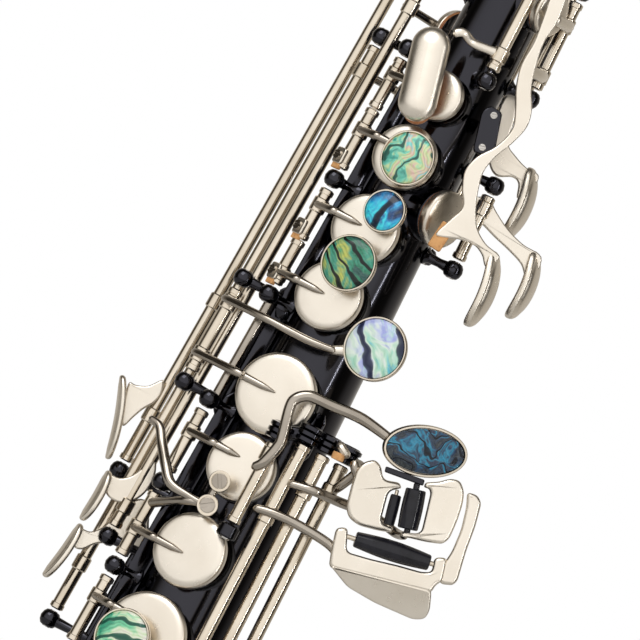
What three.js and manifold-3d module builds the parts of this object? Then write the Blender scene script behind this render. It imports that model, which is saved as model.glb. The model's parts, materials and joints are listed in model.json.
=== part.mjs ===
// Straight soprano saxophone standing on its bell rim: millimetres, +Z up along the bore.
// The line of tone holes and finger pearls faces -Y, the palm keys and the left little-finger
// table lie towards +X, and the right-hand side keys lie towards -X.
import * as THREE from 'three';
import { mergeVertices } from 'three/addons/utils/BufferGeometryUtils.js';
import Module from 'manifold-3d';

const wasm = await Module();
wasm.setup();

// ---------------------------------------------------------------- driving dimensions
const APEX_Z = 815; // where the walls of the conical bore would meet
const CONE_SLOPE = Math.tan(THREE.MathUtils.degToRad(1.72));
const WALL = 0.95;
const GAP = 0.3; // clearance between separate pieces
const BELL_TOP = 60;
const BODY_TOP = 560;
const NECK_TOP = 640;
const BELL_RADIUS = 46.5;
const CHIMNEY_HEIGHT = 2.4;
const CUP_LIFT = CHIMNEY_HEIGHT + 0.4; // underside of a closed key cup
const CUP_TOP = CUP_LIFT + 3.4;
const ROD = 1.8; // hinge tube radius
const BALL = 2.9; // post ball radius
const ARM = 1.25;

// Hinge lines run along the cone at an angle around the body and a height above its wall.
const STACK = { theta: -53, h: 9 };
const G_LINE = { theta: -65.5, h: 16.2 };
const SIDE_B_FLAT = { theta: -87, h: 16.5 };
const SIDE_C = { theta: -79.5, h: 13 };
const SIDE_E = { theta: -93.5, h: 21.5 };
const G_SHARP_LINE = { theta: 15, h: 12 };
const LOW_B_FLAT = { theta: 31, h: 12.5 };
const LOW_B = { theta: 45, h: 12.5 };
const LOW_C_SHARP = { theta: 61, h: 12.5 };
const LITTLE_FINGER = { theta: -30, h: 7 };
const FRONT_F = { theta: 30, h: 7.5 };
const PALM_D = { theta: 102, h: 7 };
const PALM_E_FLAT = { theta: 134, h: 7 };
const PALM_F = { theta: 98, h: 9 };
const THUMB_LINE = { theta: 150, h: 6 };
const VENT_LINE = { theta: 158, h: 6 };
const LOWER_VENT_LINE = { theta: -158, h: 6 };

// Tone holes: angle around the body, height up the bore and radius of the key cup.
const HOLES = {
  c_vent: { theta: 0, z: 464, r: 7.4 },
  b: { theta: 0, z: 444.3, r: 9.4 },
  bis: { theta: 0, z: 421.4, r: 10 },
  a: { theta: 0, z: 400, r: 10 },
  g: { theta: 0, z: 369, r: 11.8 },
  g_sharp: { theta: 0, z: 346.6, r: 10 },
  f_sharp: { theta: 0, z: 319.4, r: 10.8 },
  f: { theta: 0, z: 292.6, r: 12.5 },
  e: { theta: 0, z: 264.5, r: 12.5 },
  d: { theta: 0, z: 236, r: 12.8 },
  e_flat: { theta: -68, z: 208, r: 10.8 },
  c: { theta: 0, z: 178, r: 13.5 },
  c_sharp: { theta: 20, z: 147, r: 13.5 },
  low_b: { theta: 88, z: 113, r: 15 },
  low_b_flat: { theta: 75, z: 80, r: 15 },
  side_b_flat: { theta: -125, z: 462, r: 7.5 },
  side_c: { theta: -128, z: 484, r: 7.2 },
  side_e: { theta: -125, z: 506, r: 6.4 },
  front_f: { theta: 62, z: 538, r: 6.2 },
  palm_d: { theta: 66, z: 500, r: 7 },
  palm_e_flat: { theta: 100, z: 520, r: 6.6 },
  palm_f: { theta: 62, z: 434.5, r: 8.4 },
};

// ---------------------------------------------------------------- materials
const finish = (color, roughness, metalness) => ({ color, roughness, metalness });
const BLACK_NICKEL = finish(0x15151a, 0.16, 1);
const SATIN_NICKEL = finish(0xd3c9ba, 0.42, 1);
const POLISHED_NICKEL = finish(0xb9aa97, 0.2, 1);
const ABALONE = finish(0x5fae9e, 0.12, 0.1);
const ROLLER_BLACK = finish(0x0b0b0d, 0.2, 0);
const EBONITE = finish(0x101012, 0.25, 0);
const CANE = finish(0xd9b878, 0.6, 0);
const CORK = finish(0xc28a55, 0.85, 0);

// ---------------------------------------------------------------- places on the body
const radians = THREE.MathUtils.degToRad;
const bore = (z) => (APEX_Z - z) * CONE_SLOPE;
const outer = (z) => bore(z) + WALL;

// A matrix on the body: X around the tube, Y up the bore, Z straight out of the wall.
function seat(theta, z, s = 0, h = 0) {
  const around = new THREE.Vector3(Math.cos(radians(theta)), Math.sin(radians(theta)), 0);
  const out = new THREE.Vector3(Math.sin(radians(theta)), -Math.cos(radians(theta)), 0);
  const matrix = new THREE.Matrix4().makeBasis(around, new THREE.Vector3(0, 0, 1), out);
  const place = out.multiplyScalar(outer(z) + h).addScaledVector(around, s);
  return matrix.setPosition(place.x, place.y, z);
}

const spot = (theta, z, s = 0, h = 0) =>
  new THREE.Vector3().setFromMatrixPosition(seat(theta, z, s, h));
const onLine = (line, z) => spot(line.theta, z, 0, line.h);

// ---------------------------------------------------------------- solids
function solid(geometry) {
  const bare = geometry.clone();
  bare.deleteAttribute('normal');
  bare.deleteAttribute('uv');
  const welded = mergeVertices(bare, 1e-4);
  const p = welded.attributes.position.array;
  const index = welded.index.array;
  const triangles = [];
  let volume = 0;
  for (let i = 0; i < index.length; i += 3) {
    const [a, b, c] = index.slice(i, i + 3);
    if (a !== b && b !== c && c !== a) {
      triangles.push(a, b, c);
      const [u, v, w] = [a, b, c].map((k) => new THREE.Vector3().fromArray(p, 3 * k));
      volume += u.dot(v.cross(w));
    }
  }
  if (volume < 0) triangles.reverse();
  const mesh = new wasm.Mesh({
    numProp: 3,
    vertProperties: new Float32Array(p),
    triVerts: new Uint32Array(triangles),
  });
  return new wasm.Manifold(mesh);
}

const join = (solids) => solids.reduce((whole, next) => whole.add(next));

function lathe(profile, segments) {
  const points = profile.map(([r, y]) => new THREE.Vector2(r, y));
  return new THREE.LatheGeometry(points, segments).rotateX(Math.PI / 2);
}

// A round solid on the body whose axis points straight out of the wall.
const turned = (profile, segments, matrix) =>
  solid(lathe(profile, segments).applyMatrix4(matrix));

// A straight bar, tapered if two radii are given.
function bar(from, to, r = ARM, rTo = r, sides = 4) {
  const along = to.clone().sub(from);
  const geometry = new THREE.CylinderGeometry(rTo, r, along.length(), sides);
  const turn = new THREE.Quaternion().setFromUnitVectors(
    new THREE.Vector3(0, 1, 0),
    along.clone().normalize(),
  );
  geometry.applyQuaternion(turn);
  const middle = from.clone().addScaledVector(along, 0.5);
  return solid(geometry.translate(middle.x, middle.y, middle.z));
}

function ball(centre, r, columns = 6, rows = 4) {
  const geometry = new THREE.SphereGeometry(r, columns, rows).rotateX(Math.PI / 2);
  return solid(geometry.translate(centre.x, centre.y, centre.z));
}

// A bent arm: bars between its points with a round knuckle at each bend.
function arm(points, r = ARM, rEnd = r) {
  const pieces = [];
  for (let i = 1; i < points.length; i += 1) {
    const last = i === points.length - 1;
    pieces.push(bar(points[i - 1], points[i], r, last ? rEnd : r));
    if (!last) pieces.push(ball(points[i], r * 1.02, 4, 2));
  }
  return join(pieces);
}

// A flat plate from an outline in a matrix's own X and Y, thick along its Z.
function plate(outline, thickness, matrix) {
  const shape = new THREE.Shape(outline.map(([x, y]) => new THREE.Vector2(x, y)));
  const geometry = new THREE.ExtrudeGeometry(shape, { depth: thickness, bevelEnabled: false });
  return solid(geometry.applyMatrix4(matrix));
}

// An oval or stadium outline, half-lengths a and b.
function ovalOutline(a, b, steps = 16, power = 1) {
  return Array.from({ length: steps }, (_, i) => {
    const t = (2 * Math.PI * i) / steps;
    const round = (v) => Math.sign(v) * Math.abs(v) ** power;
    return [a * round(Math.cos(t)), b * round(Math.sin(t))];
  });
}

// ---------------------------------------------------------------- key pieces
const tube = (line, from, to, r = ROD) => bar(onLine(line, from), onLine(line, to), r, r, 6);

function cup({ theta, z, r }) {
  const profile = [[0, 0], [r, 0], [r, 2.5], [r - 0.9, 3.4], [0, 3.4]];
  return turned(profile, 14, seat(theta, z, 0, CUP_LIFT));
}

// The flat-backed dish that holds a finger pearl, and the pearl in it.
function dish(r, matrix) {
  const profile = [[0, 0], [r, 0], [r, 1], [0, 1]];
  return turned(profile, 12, matrix);
}

function pearlSolid(r, matrix) {
  const rim = r - 0.7 - GAP;
  const profile = [[0, 1 + GAP], [rim, 1 + GAP], [rim, 2.1], [rim * 0.75, 2.7], [0, 3.1]];
  return turned(profile, 10, matrix);
}

// An arm from a hinge tube that rises to the top of its cup and lies across it.
function cupArm(line, hole, z = hole.z, reach = 0.15) {
  const side = Math.sign(line.theta - hole.theta);
  const top = CUP_TOP + 0.2;
  return arm([
    onLine(line, z),
    spot(hole.theta, z, side * (hole.r + 0.4), top - 0.6),
    spot(hole.theta, z, side * hole.r * 0.5, top),
    spot(hole.theta, z, side * hole.r * reach, top - 0.2),
  ], ARM, 0.7);
}

// ---------------------------------------------------------------- the group of named meshes
const instrument = new THREE.Group();
const axisOf = (line) => onLine(line, 500).sub(onLine(line, 100)).normalize();

function named(name, body, material) {
  const { vertProperties, triVerts, numProp } = body.getMesh();
  const geometry = new THREE.BufferGeometry();
  const positions = new Float32Array(vertProperties);
  geometry.setAttribute('position', new THREE.BufferAttribute(positions, numProp));
  geometry.setIndex(new THREE.BufferAttribute(new Uint32Array(triVerts), 1));
  geometry.computeVertexNormals();
  const mesh = new THREE.Mesh(geometry, new THREE.MeshStandardMaterial(material));
  mesh.name = name;
  return mesh;
}

const fixed = (name, body, material) => instrument.add(named(name, body, material));

// Pieces that swing together: drawn with the key shut, then turned to where it rests.
function swinging(line, z, restAngle, meshes) {
  const pivot = new THREE.Group();
  const place = onLine(line, z);
  pivot.position.copy(place);
  pivot.quaternion.setFromAxisAngle(axisOf(line), radians(restAngle));
  for (const mesh of meshes) {
    mesh.position.copy(place).negate();
    pivot.add(mesh);
  }
  instrument.add(pivot);
}

// ---------------------------------------------------------------- bell, body and neck
function bell() {
  const flare = (t) => outer(BELL_TOP) + (BELL_RADIUS - outer(BELL_TOP)) * t ** 3.1;
  const outside = [];
  const inside = [];
  for (let i = 0; i <= 6; i += 1) {
    const t = i / 6;
    const z = BELL_TOP - GAP - (BELL_TOP - GAP) * t;
    outside.push([flare(t), z]);
    inside.unshift([flare(t) - WALL, z]);
  }
  const rim = [[BELL_RADIUS, 2.6], [BELL_RADIUS - 4.2, 0]];
  const profile = [...outside.slice(0, 6), rim[0], [BELL_RADIUS, 0], rim[1], ...inside.slice(1)];
  const points = profile.map(([r, z]) => new THREE.Vector2(r, z));
  points.push(points[0].clone());
  return solid(new THREE.LatheGeometry(points, 24).rotateX(Math.PI / 2));
}

function ring(rIn, rOut, z, height, segments = 20) {
  const profile = [[rIn, 0], [rOut, 0], [rOut, height], [rIn, height], [rIn, 0]];
  return solid(lathe(profile, segments).translate(0, 0, z));
}

// A cone frustum around the bore, from one height to another.
function frustum(zLow, zHigh, extra, segments = 20) {
  const profile = [
    [0, zLow], [bore(zLow) + extra, zLow], [bore(zHigh) + extra, zHigh], [0, zHigh],
  ];
  return solid(lathe(profile, segments));
}

// Single posts soldered straight onto the tube: hinge line, height and foot angle.
const SOLDERED_POSTS = [
  [SIDE_E, 330, -112], [SIDE_E, 516, -95], [SIDE_C, 494.8, -86], [SIDE_B_FLAT, 473.2, -86],
  [PALM_D, 476.8, 102], [PALM_D, 510.6, 102], [PALM_E_FLAT, 472.8, 134], [PALM_E_FLAT, 530.2, 134],
  [PALM_F, 423.8, 98], [PALM_F, 450.2, 98], [FRONT_F, 473.9, 30], [FRONT_F, 547.8, 30],
];

const holeRadius = (hole) => hole.r * 0.76;
const chimneyRadius = (hole) => hole.r * 0.76 + 1.3;

function bodyTube() {
  const low = BELL_TOP + GAP;
  const stubs = Object.values(HOLES).map((hole) =>
    bar(
      spot(hole.theta, hole.z, 0, -outer(hole.z) * 0.5),
      spot(hole.theta, hole.z, 0, CHIMNEY_HEIGHT),
      chimneyRadius(hole), chimneyRadius(hole), 8,
    ));
  const openings = Object.values(HOLES).map((hole) =>
    bar(
      spot(hole.theta, hole.z, 0, -outer(hole.z) * 0.5),
      spot(hole.theta, hole.z, 0, CHIMNEY_HEIGHT + 5),
      holeRadius(hole), holeRadius(hole), 8,
    ));
  const posts = SOLDERED_POSTS.map(([line, z, foot]) => post(line, z, foot, -WALL / 2));
  const wall = join([frustum(low, BODY_TOP, WALL), ...stubs, ...posts]);
  return wall.subtract(frustum(low - 5, BODY_TOP + 5, 0)).subtract(join(openings));
}

// A straight rib soldered along the wall, carrying the posts that stand on it.
function rib(theta, zLow, zHigh, posts) {
  const strip = bar(
    spot(theta, zLow, 0, 0.9 + GAP), spot(theta, zHigh, 0, 0.9 + GAP), 0.75, 0.75, 4);
  return join([strip, ...posts]);
}

// A ball-headed post: its stem leaves the wall at a foot angle of its own if one is given.
function post(line, z, footTheta = line.theta, footLift = GAP + 0.5) {
  const foot = spot(footTheta, z, 0, footLift);
  const head = onLine(line, z);
  return join([bar(foot, head, 1.9, 1.3, 4), ball(head, BALL)]);
}

// ---------------------------------------------------------------- fixed pieces
function neck() {
  const low = BODY_TOP + 12;
  const shell = frustum(low, NECK_TOP, WALL, 14);
  const sleeve = ring(bore(BODY_TOP) + 0.3, outer(BODY_TOP) + 1.6, BODY_TOP + GAP, 14, 14);
  return join([shell, sleeve]).subtract(frustum(BODY_TOP - 5, NECK_TOP + 5, 0, 14));
}

const TIP_Z = 702;
const SHANK_Z = 618;
const SHANK_RADIUS = 10.8;

function mouthpiece() {
  const rOut = [[SHANK_RADIUS, SHANK_Z], [SHANK_RADIUS, 640], [8.2, TIP_Z]];
  const blank = solid(lathe([[0, SHANK_Z], ...rOut, [0, TIP_Z]], 20));
  const beak = new THREE.BoxGeometry(40, 30, 80).rotateX(radians(-14));
  const beakCut = solid(beak.translate(0, -15 - 0.8, 702));
  const table = solid(new THREE.BoxGeometry(40, 10, 80).translate(0, 5 + 6.2, 689));
  const chamber = [[0, 610], [9.15, 610], [9.15, 642], [4.4, 650], [4.4, 672], [0, 672]];
  const hollow = solid(lathe(chamber, 14));
  const window = solid(new THREE.BoxGeometry(8, 8, 30).translate(0, 5.2, 683));
  return blank.subtract(beakCut).subtract(table).subtract(hollow).subtract(window);
}

function reed() {
  const outline = [[649, 0], [649, 2.6], [676, 2.6], [701, 0.35], [701, 0]];
  const shape = new THREE.Shape(outline.map(([z, y]) => new THREE.Vector2(z, y)));
  const blank = new THREE.ExtrudeGeometry(shape, { depth: 11, bevelEnabled: false });
  // The outline's X becomes the height and its Y the thickness away from the table.
  const turn = new THREE.Matrix4().makeBasis(
    new THREE.Vector3(0, 0, 1), new THREE.Vector3(0, 1, 0), new THREE.Vector3(-1, 0, 0));
  return solid(blank.applyMatrix4(turn).translate(5.5, 6.2 + GAP, 0));
}

function ligature() {
  const band = ring(11.2, 12.2, 652, 20, 16);
  const screws = [657, 667].map((z) => join([
    bar(new THREE.Vector3(-9, 12.6, z), new THREE.Vector3(9, 12.6, z), 1.1, 1.1, 4),
    bar(new THREE.Vector3(9, 12.6, z), new THREE.Vector3(14, 12.6, z), 3, 3, 6),
  ]));
  return join([band, ...screws]);
}

function strapRing() {
  const eye = new THREE.TorusGeometry(5, 1.4, 6, 14).rotateY(Math.PI / 2);
  const centre = spot(180, 345, 0, 7);
  return join([
    solid(eye.translate(centre.x, centre.y, centre.z)),
    bar(spot(180, 345, 0, GAP), spot(180, 345, 0, 2.4), 4, 2.2, 6),
  ]);
}

function thumbHook() {
  const z = 296;
  const foot = plate(ovalOutline(7, 12), 1.6, seat(180, z, 0, 2 * GAP));
  return join([foot, arm([
    spot(180, z, 0, 1), spot(180, z, 0, 9), spot(180, z - 6, 0, 19), spot(180, z - 20, 0, 21),
  ], 2.6)]);
}

function thumbRest() {
  const profile = [[0, 0], [7, 0], [8.5, 2.2], [7.5, 3.2], [0, 4]];
  return turned(profile, 20, seat(180, 412, 0, GAP));
}

// Arches of round bar over the two lowest key cups.
function lowKeyGuard() {
  const legs = [64.5, 96.5, 130.5].map((z) =>
    arm([spot(126, z, 0, 1.4), spot(118, z, 0, 15), spot(82, z, 0, 17.5)], 1.3));
  const rail = bar(spot(82, 64.5, 0, 17.5), spot(82, 130.5, 0, 17.5), 1.5);
  const backRail = bar(spot(126, 64.5, 0, 1.3), spot(126, 130.5, 0, 1.3), 0.9);
  return join([rail, backRail, ...legs]);
}

// The black bracket that holds the tops of the G sharp tube and the three low-key tubes.
const BRACKET_Z = 363.4;

function tableBracket() {
  const heads = [
    onLine(G_SHARP_LINE, 360.2), onLine(LOW_B_FLAT, BRACKET_Z), onLine(LOW_B, BRACKET_Z),
    onLine(LOW_C_SHARP, BRACKET_Z),
  ];
  const bridges = heads.slice(1).map((head, i) => bar(heads[i], head, 1.5));
  const stem = bar(spot(45, BRACKET_Z, 0, GAP + 0.5), heads[2], 2.2, 1.5);
  return join([...heads.map((head) => ball(head, 2.7)), ...bridges, stem, rib(45, 356, 370, [])]);
}

// The rib near the bell whose posts carry the lower ends of the low-key tubes.
const lowRodRib = () => rib(31, 64.2, 131, [
  post(LOW_B_FLAT, 66), post(LOW_B, 95.6, 31, 1.8), post(LOW_C_SHARP, 129.6, 31, 1.8)]);

fixed('bell', bell(), BLACK_NICKEL);
fixed('body_tube', bodyTube(), BLACK_NICKEL);
fixed('bell_ring', ring(outer(58) + GAP, outer(58) + 2, 60.6, 2.6), POLISHED_NICKEL);
fixed('neck_ring', ring(outer(553) + GAP, outer(553) + 2.2, 553, 6), POLISHED_NICKEL);
fixed('neck', neck(), BLACK_NICKEL);
fixed('neck_cork', ring(outer(612) + GAP, 8.7, 612, 27, 14), CORK);
fixed('mouthpiece', mouthpiece(), EBONITE);
fixed('reed', reed(), CANE);
fixed('ligature', ligature(), POLISHED_NICKEL);
fixed('strap_ring', strapRing(), BLACK_NICKEL);
fixed('thumb_hook', thumbHook(), BLACK_NICKEL);
fixed('thumb_rest', thumbRest(), ROLLER_BLACK);
fixed('low_key_guard', lowKeyGuard(), BLACK_NICKEL);
fixed('table_bracket', tableBracket(), BLACK_NICKEL);
fixed('low_rod_rib', lowRodRib(), BLACK_NICKEL);
fixed('upper_stack_rib', rib(-53, 389, 476, [
  post(STACK, 393.2), post(STACK, 430.4), post(STACK, 472.6)]), BLACK_NICKEL);
fixed('lower_stack_rib', rib(-53, 219, 364, [
  post(STACK, 223.5), post(STACK, 248.8), post(STACK, 278.4),
  post(STACK, 306), post(STACK, 332.8), post(STACK, 359.4)]), BLACK_NICKEL);
fixed('g_rib', rib(-66, 356, 398, [post(G_LINE, 360.6), post(G_LINE, 394)]), BLACK_NICKEL);
fixed('side_rib', rib(-86, 280, 320, [
  post(SIDE_C, 312.2, -86), post(SIDE_B_FLAT, 284, -86)]), BLACK_NICKEL);

// ---------------------------------------------------------------- stack keys
const STACK_OPEN = 7.6;

// A finger key on the stack: tube, cup, arm and, if it has one, the dish for its pearl.
function stackKey({ hole, tubeZ, armZ, touch }) {
  const pieces = [tube(STACK, ...tubeZ), cup(hole), cupArm(STACK, hole, armZ)];
  if (touch) {
    const { s, z, r, h } = touch;
    pieces.push(dish(r, seat(0, z, s, h)));
    const stubZ = hole.z + THREE.MathUtils.clamp(z - hole.z, -6, 6);
    pieces.push(bar(spot(0, stubZ, s * 0.6, CUP_TOP - 1), spot(0, stubZ, s * 0.6, h + 0.5), 3.2, 3.2, 5));
  }
  return join(pieces);
}

const STACK_KEYS = {
  c_vent: { hole: HOLES.c_vent, tubeZ: [453.2, 469.2], armZ: 464 },
  b: { hole: HOLES.b, tubeZ: [433.8, 452.9], armZ: 446, touch: { s: 3.5, z: 443.9, r: 8.05, h: 8.6 } },
  bis: { hole: HOLES.bis, tubeZ: [411, 427], armZ: 421.8, touch: { s: 5, z: 427.8, r: 6.3, h: 8.6 } },
  a: { hole: HOLES.a, tubeZ: [396.6, 410.7], armZ: 400, touch: { s: 3.5, z: 410.3, r: 8.2, h: 9.9 } },
  f_sharp: { hole: HOLES.f_sharp, tubeZ: [309.4, 329.4], armZ: 318 },
  f: { hole: HOLES.f, tubeZ: [281.8, 302.6], armZ: 296, touch: { s: -3, z: 289.5, r: 8.3, h: 8.6 } },
  e: { hole: HOLES.e, tubeZ: [252.2, 275], armZ: 268, touch: { s: -3, z: 261.5, r: 8.3, h: 8.6 } },
  d: { hole: HOLES.d, tubeZ: [226.9, 245.4], armZ: 239, touch: { s: -3, z: 233, r: 8.3, h: 8.6 } },
};

for (const [name, spec] of Object.entries(STACK_KEYS)) {
  const meshes = [named(`${name}_key`, stackKey(spec), SATIN_NICKEL)];
  if (spec.touch) {
    const { s, z, r, h } = spec.touch;
    meshes.push(named(`${name}_pearl`, pearlSolid(r, seat(0, z, s, h)), ABALONE));
  }
  swinging(STACK, spec.armZ, -STACK_OPEN, meshes);
}

// ---------------------------------------------------------------- G and G sharp
const G_OPEN = 5;
const G_TOUCH = { s: 20.7, z: 392.6, r: 9.2, h: 6.6 };

function gKey() {
  const { s, z, r, h } = G_TOUCH;
  return join([
    tube(G_LINE, 364.2, 390.4, 1.95),
    cup(HOLES.g),
    arm([onLine(G_LINE, 369.3), spot(0, 369.3, -11, 7.6), spot(0, 369.3, -1, CUP_TOP)], ARM, 0.7),
    arm([onLine(G_LINE, 386), spot(0, 386, -10, 9.6), spot(0, 386, 5, 8.6), spot(0, 387, 10.5, 6.2),
      spot(0, z - 2, s - 3, h - 0.6)], 1.4),
    dish(r, seat(0, z, s, h)),
  ]);
}

swinging(G_LINE, 380, -G_OPEN, [
  named('g_key', gKey(), SATIN_NICKEL),
  named('g_pearl', pearlSolid(G_TOUCH.r, seat(0, G_TOUCH.z, G_TOUCH.s, G_TOUCH.h)), ABALONE),
]);

swinging(STACK, 346, 0, [named('g_sharp_key', join([
  tube(STACK, 336.2, 356), cup(HOLES.g_sharp), cupArm(STACK, HOLES.g_sharp, 349),
]), SATIN_NICKEL)]);

// ---------------------------------------------------------------- left little-finger table
// The table's own frame: it faces outwards at an angle and its long side leans over.
const TABLE_TURN = 25;
const TABLE_LEAN = 27.8;
const TABLE_CENTRE = new THREE.Vector3(35.8, -21.5, 356.9);

function tableSeat(x, y, h = 0, turn = 0) {
  const around = new THREE.Vector3(Math.cos(radians(TABLE_TURN)), Math.sin(radians(TABLE_TURN)), 0);
  const out = new THREE.Vector3(Math.sin(radians(TABLE_TURN)), -Math.cos(radians(TABLE_TURN)), 0);
  const up = new THREE.Vector3(0, 0, 1);
  const lean = radians(TABLE_LEAN + turn);
  const wide = around.clone().multiplyScalar(Math.cos(lean)).addScaledVector(up, Math.sin(lean));
  const tall = up.clone().multiplyScalar(Math.cos(lean)).addScaledVector(around, -Math.sin(lean));
  const flat = new THREE.Matrix4().makeBasis(wide, tall, out);
  const base = radians(TABLE_LEAN);
  const place = TABLE_CENTRE.clone()
    .addScaledVector(around, x * Math.cos(base) - y * Math.sin(base))
    .addScaledVector(up, x * Math.sin(base) + y * Math.cos(base))
    .addScaledVector(out, h);
  return flat.setPosition(place);
}

const tableSpot = (x, y, h = 0) => new THREE.Vector3().setFromMatrixPosition(tableSeat(x, y, h));
const PLATE = 2.4;
const OVAL = { x: 15.3, y: 11.4, turn: -8, a: 12, b: 7.25, h: 2 };

// A rectangle with its corners cut, from one corner to the opposite one.
function chamfered(x0, y0, x1, y1, c = 1.6) {
  return [
    [x0 + c, y0], [x1 - c, y0], [x1, y0 + c], [x1, y1 - c],
    [x1 - c, y1], [x0 + c, y1], [x0, y1 - c], [x0, y0 + c],
  ];
}

function gSharpLever() {
  const place = tableSeat(OVAL.x, OVAL.y, OVAL.h, OVAL.turn);
  const bezel = plate(ovalOutline(OVAL.a, OVAL.b, 18), 1.2, place);
  return join([
    tube(G_SHARP_LINE, 331.7, 356.6, 1.9),
    arm([onLine(G_SHARP_LINE, 350), spot(22, 356, 0, 17.4), spot(14, 366, 0, 16.6),
      spot(16, 373.5, 0, 15.4), spot(30, 376.4, 0, 15), tableSpot(2.5, 15.2, 1.6),
      tableSpot(OVAL.x - 9, OVAL.y + 1, OVAL.h - 0.6)], 1.3),
    bezel,
  ]);
}

swinging(G_SHARP_LINE, 345, 0, [
  named('g_sharp_lever', gSharpLever(), POLISHED_NICKEL),
  named('g_sharp_inlay', plate(ovalOutline(OVAL.a - 1.5, OVAL.b - 1.5, 18), 1.8, tableSeat(
    OVAL.x, OVAL.y, OVAL.h + 1.2 + GAP, OVAL.turn)), ABALONE),
]);

// A low key: its long tube, its cup far down the body and its plate on the table.
function lowKey(line, tubeZ, hole, plates, armPoints) {
  const side = Math.sign(hole.theta - line.theta);
  const near = hole.theta - side * (hole.r / outer(hole.z)) * 40;
  return join([
    tube(line, ...tubeZ),
    cup(hole),
    arm([onLine(line, hole.z), spot(near, hole.z, 0, CUP_TOP + 2.2),
      spot(hole.theta, hole.z, 0, CUP_TOP)], 1.4, 1),
    arm([onLine(line, armPoints[0].z ?? 349), ...armPoints], 1.35),
    ...plates,
  ]);
}

const LOW_OPEN = 7;
const cSharpKey = lowKey(LOW_C_SHARP, [132.8, 360.2], HOLES.c_sharp, [
  plate(chamfered(-6.2, -9.7, 3.7, 6), PLATE, tableSeat(0, 0)),
], [spot(61, 354, 0, 14), tableSpot(-3, 1, -0.4)]);

const lowBKey = lowKey(LOW_B, [98.8, 360.2], HOLES.low_b, [
  plate([[18, 2.6], [25.8, 2.6], [27.4, 1], [27, -4], [25.3, -9], [22.9, -14], [21.2, -14.8],
    [14.6, -14.8], [14.8, -11.4], [17.4, 0.5]], PLATE, tableSeat(0, 0)),
  plate([[5.6, -11], [5.6, -12.9], [17, -14.6], [17, -12.4]], 1.2, tableSeat(0, 0)),
], [spot(46, 346, 0, 16), tableSpot(-3, -11.8, -6.8), tableSpot(4.6, -11.8, -6.4),
  tableSpot(8.4, -12, 0)]);

const lowBFlatKey = lowKey(LOW_B_FLAT, [69.2, 360.2], HOLES.low_b_flat, [
  plate([[-8.6, -10.4], [-5.6, -10.4], [-6, -18.7], [19, -23.6], [19, -27], [16, -34.4], [2, -31],
    [-8, -25.6], [-9.6, -18.4]], PLATE, tableSeat(0, 0)),
  plate([[28, -0.4], [31, -1.4], [31.9, -3.6], [30.2, -10.1], [27.7, -16.7], [25.2, -25.2],
    [23.6, -26.4], [18, -26.4], [18, -23.8], [21.6, -20.4], [24, -16.4], [26.3, -11], [28, -4]],
  2, tableSeat(0, 0)),
], [spot(31, 338, 0, 16), spot(48, 337, 0, 16.4), tableSpot(-7, -21, 0.6)]);

function roller(from, to, r) {
  return bar(from, to, r, r, 12);
}

swinging(LOW_C_SHARP, 350, 0, [
  named('low_c_sharp_key', cSharpKey, SATIN_NICKEL),
  named('table_roller_small',
    roller(tableSpot(5.7, -9.2, 1.1), tableSpot(7.8, -0.8, 1.1), 1.3), ROLLER_BLACK),
]);
swinging(LOW_B, 349, -LOW_OPEN, [
  named('low_b_key', lowBKey, SATIN_NICKEL),
  named('table_roller_upper',
    roller(tableSpot(11.6, -10.8, 1), tableSpot(14, 0.2, 1), 2.9), ROLLER_BLACK),
]);
swinging(LOW_B_FLAT, 338, -LOW_OPEN, [
  named('low_b_flat_key', lowBFlatKey, SATIN_NICKEL),
  named('table_roller_lower',
    roller(tableSpot(-3.2, -13.4, 1.2), tableSpot(17.4, -20, 1.2), 2.2), ROLLER_BLACK),
]);

// ---------------------------------------------------------------- palm keys
// A leaf-shaped touch plate for the palm, standing edge-on to the front.
function leaf([top, bottom], halfWidth, thickness, facing) {
  const tall = top.clone().sub(bottom);
  const halfLength = tall.length() / 2;
  tall.normalize();
  const wide = tall.clone().cross(facing).normalize();
  const out = wide.clone().cross(tall);
  const middle = top.clone().lerp(bottom, 0.5).addScaledVector(out, -thickness / 2);
  const matrix = new THREE.Matrix4().makeBasis(wide, tall, out).setPosition(middle);
  return plate(ovalOutline(halfWidth, halfLength, 12, 0.7), thickness, matrix);
}

const point = (x, y, z) => new THREE.Vector3(x, y, z);
const SIDEWAYS = point(1, 0, 0);

const palmKeys = {
  palm_d_key: {
    line: PALM_D, tubeZ: [480, 507.2], hole: HOLES.palm_d,
    levers: [[
      onLine(PALM_D, 484), point(23.5, 0, 478), point(21, -1, 466), point(23.5, -1.5, 448),
      point(30.5, 3, 428),
    ]],
    touch: [point(29.8, 3, 431), point(34, 3, 410)],
  },
  palm_e_flat_key: {
    line: PALM_E_FLAT, tubeZ: [476, 526.8], hole: HOLES.palm_e_flat,
    levers: [[onLine(PALM_E_FLAT, 480), point(20, 13, 470), point(28.5, 12, 455)]],
    touch: [point(28, 12, 459), point(30.2, 12, 440.5)],
  },
  palm_f_key: {
    line: PALM_F, tubeZ: [427, 447], hole: HOLES.palm_f,
    levers: [[onLine(PALM_F, 443), point(28.3, 9, 437.4), point(36.5, 10, 431.5), point(41.2, 10, 429)]],
    touch: [point(40, 10, 437.6), point(43, 10, 419.2)],
  },
};

for (const [name, { line, tubeZ, hole, levers, touch }] of Object.entries(palmKeys)) {
  const body = join([
    tube(line, ...tubeZ), cup(hole), cupArm(line, hole),
    ...levers.map((points) => arm(points, 1.7, 1.5)), leaf(touch, 6, 3, SIDEWAYS),
  ]);
  swinging(line, tubeZ[0], 0, [named(name, body, SATIN_NICKEL)]);
}

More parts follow.
